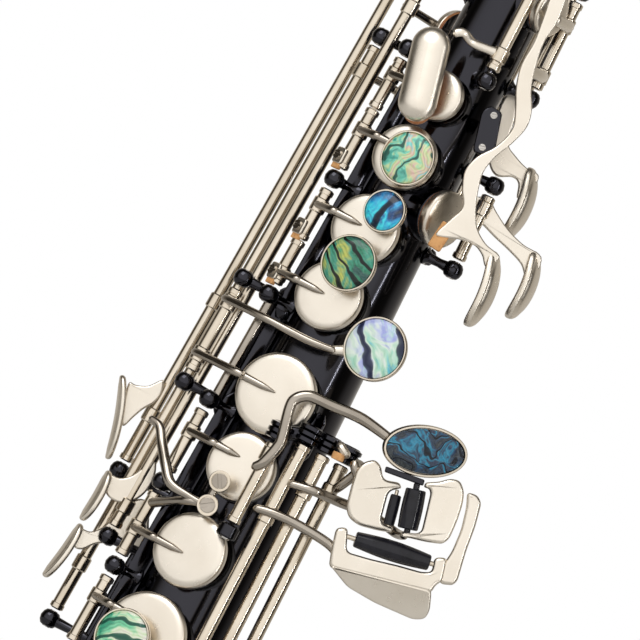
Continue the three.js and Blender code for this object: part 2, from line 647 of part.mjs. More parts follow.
// ---------------------------------------------------------------- front F key
function frontFKey() {
  const low = point(-1.5, -26.4, 453.9);
  const high = point(-8.7, -25.6, 480.2);
  return join([
    tube(FRONT_F, 477.2, 544.4), cup(HOLES.front_f), cupArm(FRONT_F, HOLES.front_f),
    leaf([high, low], 6.5, 6.4, point(0, -1, 0)),
    arm([onLine(FRONT_F, 485), spot(0, 483, 2, 12), point(-8, -26, 477)], 1.5),
  ]);
}

swinging(FRONT_F, 480, 0, [named('front_f_key', frontFKey(), SATIN_NICKEL)]);

// ---------------------------------------------------------------- right-hand side keys
// A paddle whose broad face points away from the body, on an arm from its long rod.
function sideKey({ line, tubeZ, hole, armZ, elbow, paddle }) {
  const [top, bottom] = paddle;
  const middle = top.clone().lerp(bottom, 0.5);
  return join([
    tube(line, ...tubeZ), cup(hole), cupArm(line, hole),
    arm([onLine(line, armZ), elbow, middle], 1.5),
    leaf(paddle, 5, 2.6, SIDEWAYS),
  ]);
}

const sideKeys = {
  side_e_key: {
    line: SIDE_E, tubeZ: [333.2, 512.8], hole: HOLES.side_e, armZ: 348, elbow: point(-36, -4, 348),
    paddle: [point(-46.6, -6, 354), point(-37.6, -6, 334)],
  },
  side_c_key: {
    line: SIDE_C, tubeZ: [315.4, 491.6], hole: HOLES.side_c, armZ: 322, elbow: point(-31, -8, 321),
    paddle: [point(-35.5, -9, 328), point(-35.8, -9, 314)],
  },
  side_b_flat_key: {
    line: SIDE_B_FLAT, tubeZ: [287.2, 470], hole: HOLES.side_b_flat, armZ: 302,
    elbow: point(-31, -8, 303), paddle: [point(-35.9, -9, 311), point(-37.2, -9, 296)],
  },
};

for (const [name, spec] of Object.entries(sideKeys)) {
  swinging(spec.line, 400, 0, [named(name, sideKey(spec), SATIN_NICKEL)]);
}

// ---------------------------------------------------------------- right little-finger keys
const lowC = join([
  tube(LITTLE_FINGER, 166, 194), cup(HOLES.c), cupArm(LITTLE_FINGER, HOLES.c, 178),
  arm([onLine(LITTLE_FINGER, 191), spot(0, 199, -4, 12)], 1.5),
  plate(chamfered(-9, -3.6, 9, 3), 2, seat(0, 202, 2, 12)),
]);
const lowEFlat = join([
  tube(LITTLE_FINGER, 197.2, 220), cup(HOLES.e_flat), cupArm(LITTLE_FINGER, HOLES.e_flat, 208),
  arm([onLine(LITTLE_FINGER, 216), spot(0, 215, -4, 12)], 1.5),
  plate(chamfered(-9, -2.4, 9, 4.4), 2, seat(0, 214, 2, 12)),
]);

swinging(LITTLE_FINGER, 180, -6, [
  named('low_c_key', lowC, SATIN_NICKEL),
  named('low_c_roller', roller(spot(0, 207.2, -5, 13), spot(0, 207.2, 9, 13), 1.5), ROLLER_BLACK),
]);
swinging(LITTLE_FINGER, 208, 0, [named('low_e_flat_key', lowEFlat, SATIN_NICKEL)]);
fixed('low_c_rib', rib(-36, 160, 226, [
  post(LITTLE_FINGER, 162.7, -36), post(LITTLE_FINGER, 223.4, -36)]), BLACK_NICKEL);

// ---------------------------------------------------------------- octave mechanism
const ventCup = (theta, z) =>
  turned([[0, 0], [3.2, 0], [3.2, 2], [0, 2.6]], 12, seat(theta, z, 0, CUP_LIFT));

const thumbLever = join([
  tube(THUMB_LINE, 428, 452), arm([onLine(THUMB_LINE, 436), spot(180, 432, -2, 6)], 1.5),
  plate(ovalOutline(6, 8, 14), 2, seat(180, 430, -3, 5.4)),
]);
const upperVent = join([
  tube(VENT_LINE, 456, 550), ventCup(180, 546),
  arm([onLine(VENT_LINE, 546), spot(180, 546, -3, 6.6), spot(180, 546, 0, CUP_LIFT + 2)], 1.1),
]);
const lowerVent = join([
  tube(LOWER_VENT_LINE, 514, 528), ventCup(180, 520),
  arm([onLine(LOWER_VENT_LINE, 521), spot(180, 520.5, 3.4, 6.4), spot(180, 520, 0, CUP_LIFT + 1.4)], 1.2),
]);
swinging(THUMB_LINE, 440, 0, [named('thumb_octave_lever', thumbLever, SATIN_NICKEL)]);
swinging(VENT_LINE, 500, 0, [named('upper_octave_key', upperVent, SATIN_NICKEL)]);
swinging(LOWER_VENT_LINE, 490, 0, [named('body_octave_key', lowerVent, SATIN_NICKEL)]);

const parts = new THREE.Group();
const box = new THREE.Box3().setFromObject(instrument);
const centre = box.getCenter(new THREE.Vector3());
instrument.position.set(-centre.x, -centre.y, -box.min.z);
parts.add(instrument);
export default parts;
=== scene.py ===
"""Looks of a straight soprano saxophone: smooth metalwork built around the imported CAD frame."""
import json
import math

import bmesh
import bpy
import numpy as np
from mathutils import Matrix, Vector
from mathutils.geometry import tessellate_polygon


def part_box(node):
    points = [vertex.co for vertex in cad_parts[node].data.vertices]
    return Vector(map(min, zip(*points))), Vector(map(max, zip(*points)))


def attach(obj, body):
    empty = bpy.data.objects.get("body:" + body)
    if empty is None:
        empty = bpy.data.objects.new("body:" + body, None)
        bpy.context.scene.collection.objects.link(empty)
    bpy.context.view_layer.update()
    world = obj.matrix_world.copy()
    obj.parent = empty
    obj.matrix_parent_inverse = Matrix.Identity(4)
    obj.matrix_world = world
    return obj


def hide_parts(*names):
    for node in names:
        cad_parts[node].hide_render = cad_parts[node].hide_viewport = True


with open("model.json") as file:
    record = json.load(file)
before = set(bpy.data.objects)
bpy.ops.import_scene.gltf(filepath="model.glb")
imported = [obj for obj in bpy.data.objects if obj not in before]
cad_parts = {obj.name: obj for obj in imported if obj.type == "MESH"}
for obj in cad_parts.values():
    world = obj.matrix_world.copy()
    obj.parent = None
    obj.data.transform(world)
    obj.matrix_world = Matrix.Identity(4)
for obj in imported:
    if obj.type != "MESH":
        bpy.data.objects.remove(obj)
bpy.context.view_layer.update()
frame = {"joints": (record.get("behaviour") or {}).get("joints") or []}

# ------------------------------------------------------------------ driving dimensions, millimetres
MM = 0.001
BELL_LOW, BELL_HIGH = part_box("bell")
AXIS_X = (BELL_LOW.x + BELL_HIGH.x) / 2 / MM
BORE = Matrix.Translation((AXIS_X, 0, 0))
APEX_Z = 815
SLOPE = math.tan(math.radians(1.72))
WALL = 0.95
BELL_TOP, BODY_TOP, NECK_TOP = 60, 560, 640
BELL_RADIUS = 46.5
CHIMNEY = 2.4
CUP_LIFT = 2.8
CUP_TOP = 6.2
ROD = 1.8
BALL = 2.9
VIEW_TURN = 16  # azimuth that the flat plates of the side and palm keys face
LEVER_TURN = 15  # azimuth of the plane in which the little-finger arms are bent
BORE_SHARE = 0.76  # a tone hole's radius as a share of its key cup's
EDGE_GAP = 0.3  # between touching pieces
SHARP_ANGLE = math.radians(38)

# Hinge lines: angle around the body and height above its wall.
STACK = (-53, 9)
G_LINE = (-65.5, 16.2)
SIDE_B_FLAT = (-87, 16.5)
SIDE_C = (-79.5, 13)
SIDE_E = (-93.5, 21.5)
G_SHARP_LINE = (15, 12)
LOW_B_FLAT = (31, 12.5)
LOW_B = (45, 12.5)
LOW_C_SHARP = (61, 12.5)
LITTLE_FINGER = (-30, 7)
FRONT_F = (30, 7.5)
PALM_D = (102, 7)
PALM_E_FLAT = (134, 7)
PALM_F = (98, 9)
THUMB_LINE = (150, 6)
VENT_LINE = (158, 6)
LOWER_VENT_LINE = (-158, 6)

# Tone holes: angle around the body, height up the bore and radius of the key cup.
HOLES = {
    "c_vent": (0, 464, 7.4), "b": (0, 444.3, 9.4), "bis": (0, 421.4, 10), "a": (0, 400, 10),
    "g": (0, 369, 11.8), "g_sharp": (0, 346.6, 10), "f_sharp": (0, 319.4, 10.8),
    "f": (0, 292.6, 12.5), "e": (0, 264.5, 12.5), "d": (0, 236, 12.8),
    "e_flat": (-68, 208, 10.8), "c": (0, 178, 13.5), "c_sharp": (20, 147, 13.5),
    "low_b": (88, 113, 15), "low_b_flat": (75, 80, 15), "side_b_flat": (-125, 462, 7.5),
    "side_c": (-128, 484, 7.2), "side_e": (-125, 506, 6.4), "front_f": (62, 538, 6.2),
    "palm_d": (66, 500, 7), "palm_e_flat": (100, 520, 6.6), "palm_f": (62, 434.5, 8.4),
}
OPEN_AT_REST = {
    "c_vent_key", "b_key", "bis_key", "a_key", "f_sharp_key", "f_key", "e_key", "d_key", "g_key",
    "low_b_key", "low_b_flat_key", "low_c_key",
}
ROLLER_RIDES_ON = {"table_roller_upper": "low_b_key", "table_roller_lower": "low_b_flat_key",
                   "low_c_roller": "low_c_key"}
HINGES = {j["child"]: j for j in frame["joints"]}


# ------------------------------------------------------------------ places on the body
def outer(z):
    return (APEX_Z - z) * SLOPE + WALL


def basis(x, y, z, place):
    matrix = Matrix((x, y, z)).transposed().to_4x4()
    matrix.translation = place
    return matrix


def seat(theta, z, s=0, h=0):
    """A place on the body: X around the tube, Y up the bore, Z straight out of the wall."""
    t = math.radians(theta)
    around = Vector((math.cos(t), math.sin(t), 0))
    out = Vector((math.sin(t), -math.cos(t), 0))
    place = out * (outer(z) + h) + around * s + Vector((AXIS_X, 0, z))
    return basis(around, Vector((0, 0, 1)), out, place)


def spot(theta, z, s=0, h=0):
    return seat(theta, z, s, h).translation


def on_line(line, z):
    return spot(line[0], z, 0, line[1])


def facing(depth, turn=VIEW_TURN):
    """An upright plane beside the bore: X across, Y up, Z towards the front, at a depth."""
    t = math.radians(turn)
    across = Vector((math.cos(t), math.sin(t), 0))
    front = Vector((math.sin(t), -math.cos(t), 0))
    return basis(across, Vector((0, 0, 1)), front, front * depth + Vector((AXIS_X, 0, 0)))


def in_view(x, y, depth, turn=VIEW_TURN):
    return facing(depth, turn) @ Vector((x, y, 0))


def laid(plane, x, y, depth=0, turn=0):
    """A place in a plane, turned by an angle in radians about its own Z."""
    return plane @ Matrix.Translation((x, y, depth)) @ Matrix.Rotation(turn, 4, "Z")


def outward(matrix):
    return matrix.to_3x3().col[2]


def shifted(matrix, place):
    """The directions of one place at another."""
    other = matrix.copy()
    other.translation = place
    return other


TABLE_TURN, TABLE_LEAN = 25, 27.8
TABLE_CENTRE = Vector((AXIS_X + 35.8, -21.5, 356.9))


def table(x=0, y=0, h=0, turn=0):
    """A place on the left little-finger table, whose long side leans over."""
    flat = facing(0, TABLE_TURN)
    around, up, out = (flat.to_3x3().col[i].copy() for i in range(3))
    base, lean = math.radians(TABLE_LEAN), math.radians(TABLE_LEAN + turn)
    wide = around * math.cos(lean) + up * math.sin(lean)
    tall = up * math.cos(lean) - around * math.sin(lean)
    place = (TABLE_CENTRE + around * (x * math.cos(base) - y * math.sin(base))
             + up * (x * math.sin(base) + y * math.cos(base)) + out * h)
    return basis(wide, tall, out, place)


def table_spot(x, y, h):
    return table(x, y, h).translation


def along(a, b):
    """A place at a whose Z points to b."""
    z = (b - a).normalized()
    x = z.orthogonal().normalized()
    return basis(x, z.cross(x), z, a)


# ------------------------------------------------------------------ meshes: (points, faces)
def moved(matrix, points, faces):
    return [matrix @ Vector(p) for p in points], faces


def bands(rows, n, closed=False):
    """Faces between rings of n points each, and from the last ring to the first when closed."""
    faces = []
    for k in range(rows if closed else rows - 1):
        low, high = k * n, (k + 1) % rows * n
        faces += [[low + i, low + (i + 1) % n, high + (i + 1) % n, high + i] for i in range(n)]
    return faces


def revolve(profile, matrix=None, steps=32, closed=False):
    """A round solid from (radius, height) pairs; its ends lie on the axis unless it is closed."""
    points, faces, rows = [], [], []
    for r, h in profile:
        if r < 1e-6:
            rows.append([len(points)] * steps)
            points.append((0, 0, h))
        else:
            rows.append([len(points) + i for i in range(steps)])
            points += [(r * math.cos(2 * math.pi * i / steps), r * math.sin(2 * math.pi * i / steps), h)
                       for i in range(steps)]
    pairs = list(zip(rows, rows[1:] + rows[:1])) if closed else list(zip(rows, rows[1:]))
    for low, high in pairs:
        for i in range(steps):
            j = (i + 1) % steps
            face = list(dict.fromkeys((low[i], low[j], high[j], high[i])))
            if len(face) > 2:
                faces.append(face)
    return moved(matrix or Matrix.Identity(4), points, faces)


def spline(points, per=6, closed=False):
    """Points of a smooth curve through the given ones (vectors or number tuples)."""
    pts = [Vector(p) for p in points]
    n = len(pts)
    out = []
    spans = n if closed else n - 1
    for i in range(spans):
        if closed:
            a, b, c, d = (pts[(i + k) % n] for k in (-1, 0, 1, 2))
        else:
            a, b, c, d = (pts[min(max(i + k, 0), n - 1)] for k in (-1, 0, 1, 2))
        for k in range(per):
            t = k / per
            out.append(0.5 * (2 * b + (c - a) * t + (2 * a - 5 * b + 4 * c - d) * t * t
                              + (3 * b - a - 3 * c + d) * t ** 3))
    return out if closed else out + [pts[-1]]


def sweep(points, radii, up=(0, 0, 1), wide=1.0, sides=14, per=6):
    """A bent bar with round ends. radii follow the points; wide stretches it across up."""
    path = spline(points, per) if len(points) > 2 and per > 1 else [Vector(p) for p in points]
    radii = list(radii) if hasattr(radii, "__len__") else [radii] * len(points)
    size = np.interp(np.linspace(0, len(points) - 1, len(path)), range(len(points)), radii)
    tangents = [(path[min(i + 1, len(path) - 1)] - path[max(i - 1, 0)]).normalized()
                for i in range(len(path))]
    rows = list(zip(path, tangents, size))
    cap = [(0.0, 0.35), (0.55, 0.75), (0.85, 0.93)]
    first = [(path[0] - tangents[0] * size[0] * (1 - k) * 0.8, tangents[0], size[0] * f) for k, f in cap]
    last = [(path[-1] + tangents[-1] * size[-1] * (1 - k) * 0.8, tangents[-1], size[-1] * f)
            for k, f in reversed(cap)]
    rows = first + rows + last
    verts = []
    up = Vector(up)
    for p, t, r in rows:
        side = t.cross(up)
        side = side.normalized() if side.length > 1e-3 else t.orthogonal().normalized()
        over = side.cross(t)
        for i in range(sides):
            a = 2 * math.pi * i / sides
            verts.append(p + side * (r * wide * math.cos(a)) + over * (r * math.sin(a)))
    faces = bands(len(rows), sides)
    faces.append(list(range(sides)))
    faces.append([(len(rows) - 1) * sides + i for i in range(sides)])
    return verts, faces


def inset(outline, d):
    """The outline moved inwards by d, point by point."""
    n = len(outline)
    area = sum(outline[i][0] * outline[(i + 1) % n][1] - outline[(i + 1) % n][0] * outline[i][1]
               for i in range(n))
    turn = 1 if area > 0 else -1
    out = []
    for i in range(n):
        a, b, c = (Vector(outline[(i + k) % n]) for k in (-1, 0, 1))
        e, f = (b - a).normalized(), (c - b).normalized()
        normal = Vector((-e.y - f.y, e.x + f.x)) * turn
        if normal.length < 1e-6:
            out.append(tuple(b))
            continue
        normal.normalize()
        miter = max(0.5, normal.dot(Vector((-e.y, e.x)) * turn))
        out.append(tuple(b + normal * (d / miter)))
    return out


def slab(outline, thickness, matrix, edge=0.5, crown=0.0):
    """A plate with rounded edges, from z 0 to its thickness; crown bulges its top."""
    edge = min(edge, thickness * 0.49)
    rings = []
    turns = [0, 30, 60, 90]
    for a in turns:
        t = math.radians(a)
        rings.append((edge * (1 - math.sin(t)), edge * (1 - math.cos(t))))
    for a in reversed(turns):
        t = math.radians(a)
        rings.append((edge * (1 - math.sin(t)), thickness - edge * (1 - math.cos(t))))
    # one more ring on each flat face keeps its shading even
    rings = [(edge + 0.1, 0)] + rings + [(edge + 0.1, thickness)]
    rows = [[(x, y, z) for x, y in inset(outline, d)] for d, z in rings]
    if crown:
        top = rows[-1]
        middle = sum((Vector(p) for p in top), Vector()) / len(outline)
        for k in range(1, 7):
            share = 1 - k / 7
            lift = crown * math.sqrt(max(0.0, 1 - share * share))
            rows.append([tuple(middle + (Vector(p) - middle) * share + Vector((0, 0, lift)))
                         for p in top])
    n = len(outline)
    points = [p for row in rows for p in row]
    fill = tessellate_polygon([[Vector((x, y, 0)) for x, y in outline]])
    faces = [list(triangle) for triangle in fill] + bands(len(rows), n)
    faces += [[(len(rows) - 1) * n + i for i in triangle] for triangle in fill]
    return moved(matrix, points, faces)


def rounded(corners, r=1.5, steps=5):
    """A polygon whose corners are rounded."""
    out = []
    n = len(corners)
    for i in range(n):
        a, b, c = (Vector(corners[(i + k) % n]) for k in (-1, 0, 1))
        reach = min(r, (a - b).length * 0.45, (c - b).length * 0.45)
        start, end = b + (a - b).normalized() * reach, b + (c - b).normalized() * reach
        out += [tuple(start * (1 - t) ** 2 + b * 2 * t * (1 - t) + end * t * t)
                for t in (k / steps for k in range(steps + 1))]
    return out


def bar_outline(half_width, low, high, r):
    """A rounded rectangle, even about its own Y."""
    corners = [(-half_width, low), (half_width, low), (half_width, high), (-half_width, high)]
    return rounded(corners, r)


def curvy(points, per=6):
    return [tuple(p) for p in spline(points, per, closed=True)]


def oval(a, b, steps=64):
    return [(a * math.cos(2 * math.pi * i / steps), b * math.sin(2 * math.pi * i / steps))
            for i in range(steps)]


def ball(centre, r, steps=24):
    profile = [(r * math.sin(math.pi * i / 14), -r * math.cos(math.pi * i / 14)) for i in range(15)]
    return revolve(profile, Matrix.Translation(centre), steps)


def rod(a, b, r, steps=24, edge=0.2):
    length = (b - a).length
    profile = [(0, 0), (r - edge, 0), (r, edge), (r, length - edge), (r - edge, length), (0, length)]
    return revolve(profile, along(a, b), steps)


def collar(line, z, length, r, edge=0.3):
    low, high = on_line(line, z - length / 2), on_line(line, z + length / 2)
    return rod(low, high, r, 28, edge)


def screw(matrix, r, h):
    """A slotted screw head: a round base and two half discs beside the slot."""
    gap = 0.22 * r
    start = math.asin(gap / r)
    half = [(r * math.cos(a), r * math.sin(a)) for a in np.linspace(start, math.pi - start, 16)]
    parts = [revolve([(0, 0), (r, 0), (r, h * 0.55), (0, h * 0.55)], matrix, 28)]
    for sign in (1, -1):
        outline = [(x * sign, y * sign) for x, y in half]
        parts.append(slab(outline, h * 0.5, matrix @ Matrix.Translation((0, 0, h * 0.5)), 0.12))
    return parts


# ------------------------------------------------------------------ pieces
class Key:
    """Meshes of one body, sorted by material, made into one piece for each material."""

    def __init__(self, body, *nodes):
        self.body = body
        self.nodes = nodes
        self.meshes = {}

    def add(self, material, *meshes):
        self.meshes.setdefault(material, []).extend(meshes)

    def turn_to_rest(self, point):
        owner = ROLLER_RIDES_ON.get(self.body, self.body)
        if owner not in OPEN_AT_REST:
            return point
        return rest_turn(owner) @ point

    def finish(self):
        self.finish_as(self.body)

    def finish_as(self, name):
        for k, (material, meshes) in enumerate(self.meshes.items()):
            obj = build(f"{name}_{material}", meshes, material, self.turn_to_rest)
            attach(obj, self.body)
            if k == 0 and self.nodes:
                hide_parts(*self.nodes)


def rest_turn(body):
    joint = HINGES[body]
    pivot = Vector(joint["pos_m"]) / MM
    turn = Matrix.Rotation(-math.radians(joint["range_deg"][1]), 4, Vector(joint["axis"]))
    return Matrix.Translation(pivot) @ turn @ Matrix.Translation(-pivot)


def build(name, meshes, material, place=lambda p: p):
    points, faces = [], []
    for verts, polys in meshes:
        start = len(points)
        points += [place(Vector(v)) * MM for v in verts]
        faces += [[i + start for i in f] for f in polys]
    mesh = bpy.data.meshes.new(name)
    mesh.from_pydata([tuple(p) for p in points], [], faces)
    mesh.validate()
    mesh.update()
    return shown(name, mesh, material)


def smooth(mesh):
    mesh.polygons.foreach_set("use_smooth", [True] * len(mesh.polygons))
    mesh.set_sharp_from_angle(angle=SHARP_ANGLE)


def shown(name, mesh, material):
    """Faces outwards, smooth but for real edges, with its material."""
    work = bmesh.new()
    work.from_mesh(mesh)
    bmesh.ops.recalc_face_normals(work, faces=work.faces)
    work.to_mesh(mesh)
    work.free()
    smooth(mesh)
    mesh.materials.append(MATERIALS[material])
    obj = bpy.data.objects.new(name, mesh)
    bpy.context.scene.collection.objects.link(obj)
    return obj


# ------------------------------------------------------------------ materials
class Nodes:
    """A material's node tree with short calls to add and join its nodes."""

    def __init__(self, name):
        self.material = bpy.data.materials.new(name)
        self.material.use_nodes = True
        self.tree = self.material.node_tree
        self.shader = self.tree.nodes["Principled BSDF"]
        coordinates = self.tree.nodes.new("ShaderNodeTexCoord")
        self.place = coordinates.outputs["Object"]

    def add(self, kind, **values):
        node = self.tree.nodes.new("ShaderNode" + kind)
        for key, value in values.items():
            if hasattr(node, key):
                setattr(node, key, value)
            else:
                node.inputs[key.replace("_", " ").title()].default_value = value
        return node

    def join(self, source, target):
        self.tree.links.new(source, target)

    def noise(self, scale, detail=3.0, roughness=0.55, distortion=0.0, where=None, stretch=None):
        place = where or self.place
        if stretch:
            mapping = self.add("Mapping")
            mapping.inputs["Scale"].default_value = stretch
            self.join(place, mapping.inputs["Vector"])
            place = mapping.outputs["Vector"]
        node = self.add("TexNoise", scale=scale, detail=detail, roughness=roughness,
                        distortion=distortion)
        self.join(place, node.inputs["Vector"])
        return node.outputs["Fac"]

    def ramp(self, source, stops):
        node = self.add("ValToRGB")
        node.color_ramp.interpolation = "LINEAR"
        elements = node.color_ramp.elements
        while len(elements) < len(stops):
            elements.new(0.5)
        for element, (position, color) in zip(elements, stops):
            element.position = position
            element.color = (*color, 1) if len(color) == 3 else color
        self.join(source, node.inputs["Fac"])
        return node.outputs["Color"]

    def span(self, source, low, high):
        node = self.add("MapRange")
        node.inputs["From Min"].default_value = 0.3
        node.inputs["From Max"].default_value = 0.7
        node.inputs["To Min"].default_value = low
        node.inputs["To Max"].default_value = high
        self.join(source, node.inputs["Value"])
        return node.outputs["Result"]

    def mix(self, factor, a, b, blend="MIX"):
        node = self.add("Mix", data_type="RGBA", blend_type=blend)
        if isinstance(factor, float):
            node.inputs[0].default_value = factor
        else:
            self.join(factor, node.inputs[0])
        for socket, value in ((node.inputs[6], a), (node.inputs[7], b)):
            if isinstance(value, tuple):
                socket.default_value = (*value, 1)
            else:
                self.join(value, socket)
        return node.outputs[2]

    def bump(self, height, strength, distance):
        node = self.add("Bump")
        node.inputs["Strength"].default_value = strength
        node.inputs["Distance"].default_value = distance
        self.join(height, node.inputs["Height"])
        self.join(node.outputs["Normal"], self.shader.inputs["Normal"])

    def color(self, source):
        self.join(source, self.shader.inputs["Base Color"])

    def rough(self, source):
        self.join(source, self.shader.inputs["Roughness"])

    def fixed(self, **values):
        for key, value in values.items():
            self.shader.inputs[key.replace("_", " ")].default_value = value
        return self.material


def plated(name, pale, deep, rough, grain, relief):
    """Plated metal: slow shifts of tone, handling marks in the gloss and a fine grain."""
    n = Nodes(name)
    tone = n.noise(70, 2)
    n.color(n.ramp(tone, [(0.3, deep), (0.62, pale)]))
    marks = n.noise(420, 5, 0.7, 0.6)
    n.rough(n.span(marks, *rough))
    n.bump(n.noise(grain, 3, 0.6), relief, 0.00004)
    return n.fixed(Metallic=1.0)


def satin_nickel():
    return plated("satin_nickel", (0.82, 0.765, 0.68), (0.76, 0.70, 0.61), (0.26, 0.34), 9000, 0.2)


def polished_nickel():
    return plated("polished_nickel", (0.72, 0.65, 0.55), (0.60, 0.53, 0.43), (0.14, 0.21), 7000, 0.03)


# A darker copy of the polished nickel, used for the arms, levers and some screws: painted shade standing for
# the dark surroundings that these bars reflect.
def gunmetal():
    return plated("gunmetal", (0.43, 0.39, 0.34), (0.31, 0.275, 0.235), (0.12, 0.20), 6000, 0.04)


def black_nickel():
    """The frame's own plain black nickel, under a thin clear coat."""
    material = bpy.data.materials["black_nickel"]
    shader = material.node_tree.nodes["Principled BSDF"]
    shader.inputs["Coat Weight"].default_value = 0.15
    shader.inputs["Coat Roughness"].default_value = 0.03
    return material


def steel():
    return plated("steel", (0.60, 0.58, 0.55), (0.42, 0.40, 0.38), (0.16, 0.28), 5200, 0.15)


def abalone(name, colors, seed, patch, swirl, vein, vein_turn, vein_width, vein_color):
    """Abalone shell: cloudy colour bent by slow noise, fine layers and dark growth lines."""
    n = Nodes(name)
    mapping = n.add("Mapping")
    mapping.inputs["Location"].default_value = (seed * 0.37, seed * 0.61, seed * 0.13)
    mapping.inputs["Rotation"].default_value = (0, 0, math.radians(vein_turn))
    n.join(n.place, mapping.inputs["Vector"])
    bend = n.add("TexNoise", scale=150.0, detail=1.5, roughness=0.45)
    n.join(mapping.outputs["Vector"], bend.inputs["Vector"])
    shift = n.add("VectorMath", operation="SCALE")
    n.join(bend.outputs["Color"], shift.inputs[0])
    shift.inputs["Scale"].default_value = swirl
    bent = n.add("VectorMath", operation="ADD")
    n.join(mapping.outputs["Vector"], bent.inputs[0])
    n.join(shift.outputs[0], bent.inputs[1])
    where = bent.outputs[0]
    cloud = n.noise(patch, 3, 0.55, 0.6, where=where, stretch=(1.0, 0.45, 1.0))
    steps = [0.34 + 0.32 * i / (len(colors) - 1) for i in range(len(colors))]
    body = n.ramp(cloud, list(zip(steps, colors)))
    layer = n.add("TexWave", scale=vein * 4.5, distortion=4.0, detail=3.0)
    layer.bands_direction = "X"
    n.join(where, layer.inputs["Vector"])
    layers = n.ramp(layer.outputs["Fac"], [(0.15, (0.36,) * 3), (0.6, (0.62,) * 3)])
    layered = n.mix(0.5, body, layers, "OVERLAY")
    flakes = n.noise(1300, 3, 0.6, 0.8, where=where)
    glow = n.mix(n.span(flakes, 0.0, 0.07), layered, (0.8, 0.95, 0.9), "SCREEN")
    lines = n.add("TexWave", scale=vein, distortion=2.6, detail=1.2)
    lines.bands_direction = "X"
    n.join(where, lines.inputs["Vector"])
    dark = n.ramp(lines.outputs["Fac"], [(0.0, (1, 1, 1)), (vein_width * 0.6, (0.9,) * 3),
                                         (vein_width, (0, 0, 0))])
    n.color(n.mix(dark, glow, vein_color))
    n.rough(n.span(flakes, 0.12, 0.26))
    n.bump(cloud, 0.1, 0.0002)
    return n.fixed(Coat_Weight=0.35, Coat_Roughness=0.03, Specular_IOR_Level=0.2)


def leather():
    n = Nodes("leather")
    patches = n.noise(160, 4)
    n.color(n.ramp(patches, [(0.3, (0.25, 0.085, 0.028)), (0.55, (0.46, 0.18, 0.06)),
                             (0.75, (0.60, 0.28, 0.11))]))
    n.rough(n.span(n.noise(900, 3), 0.48, 0.7))
    n.bump(n.noise(3200, 4, 0.7), 0.5, 0.00012)
    return n.fixed(Sheen_Weight=0.2)


def cork():
    n = Nodes("cork")
    pale, deep = (0.66, 0.36, 0.15), (0.30, 0.12, 0.04)
    cells = n.add("TexVoronoi", scale=1100.0)
    n.join(n.place, cells.inputs["Vector"])
    flecks = n.noise(520, 5, 0.7)
    n.color(n.mix(cells.outputs["Distance"], n.ramp(flecks, [(0.32, deep), (0.62, pale)]), pale))
    n.rough(n.span(flecks, 0.72, 0.92))
    n.bump(flecks, 0.6, 0.0002)
    return n.fixed(Specular_IOR_Level=0.3)


def gloss_black():
    n = Nodes("gloss_black")
    smears = n.noise(300, 4)
    n.color(n.ramp(smears, [(0.35, (0.006, 0.006, 0.009)), (0.7, (0.014, 0.014, 0.02))]))
    n.rough(n.span(smears, 0.08, 0.2))
    n.bump(n.noise(2500, 2), 0.04, 0.00005)
    return n.fixed(Coat_Weight=0.15, Coat_Roughness=0.06, Specular_IOR_Level=0.25)


def ebonite():
    n = Nodes("ebonite")
    smears = n.noise(120, 5)
    n.color(n.ramp(smears, [(0.35, (0.010, 0.010, 0.011)), (0.7, (0.022, 0.021, 0.021))]))
    n.rough(n.span(n.noise(700, 4, 0.7), 0.22, 0.4))
    n.bump(n.noise(1800, 3, stretch=(1, 1, 0.1)), 0.12, 0.00006)
    return n.fixed(Specular_IOR_Level=0.45)


def cane():
    n = Nodes("cane")
    fibres = n.noise(900, 5, 0.65, stretch=(1, 1, 0.03))
    n.color(n.ramp(fibres, [(0.3, (0.52, 0.34, 0.13)), (0.5, (0.74, 0.56, 0.28)),
                            (0.75, (0.84, 0.70, 0.42))]))
    n.rough(n.span(fibres, 0.45, 0.62))
    n.bump(fibres, 0.35, 0.0001)
    return n.material


PEARL_COLORS = {
    "b_pearl": [(0.04, 0.30, 0.24), (0.16, 0.55, 0.42), (0.50, 0.62, 0.30), (0.62, 0.42, 0.36),
                (0.20, 0.62, 0.60)],
    "bis_pearl": [(0.002, 0.008, 0.04), (0.004, 0.05, 0.18), (0.01, 0.28, 0.58), (0.03, 0.62, 0.74),
                  (0.004, 0.10, 0.34)],
    "a_pearl": [(0.01, 0.07, 0.06), (0.01, 0.17, 0.09), (0.03, 0.26, 0.18), (0.42, 0.44, 0.07),
                (0.05, 0.28, 0.12)],
    "g_pearl": [(0.10, 0.42, 0.55), (0.34, 0.62, 0.48), (0.62, 0.74, 0.66), (0.36, 0.40, 0.74),
                (0.46, 0.66, 0.66)],
    "f_pearl": [(0.02, 0.28, 0.16), (0.16, 0.56, 0.32), (0.60, 0.74, 0.50), (0.70, 0.68, 0.62),
                (0.26, 0.62, 0.46)],
    "e_pearl": [(0.03, 0.26, 0.28), (0.14, 0.48, 0.44), (0.50, 0.66, 0.42), (0.30, 0.34, 0.64),
                (0.40, 0.62, 0.58)],
    "d_pearl": [(0.02, 0.20, 0.18), (0.10, 0.44, 0.30), (0.44, 0.60, 0.22), (0.10, 0.44, 0.56),
                (0.30, 0.58, 0.40)],
    "g_sharp_inlay": [(0.0, 0.002, 0.008), (0.001, 0.006, 0.022), (0.001, 0.03, 0.09),
                      (0.003, 0.20, 0.34), (0.002, 0.012, 0.05)],
}
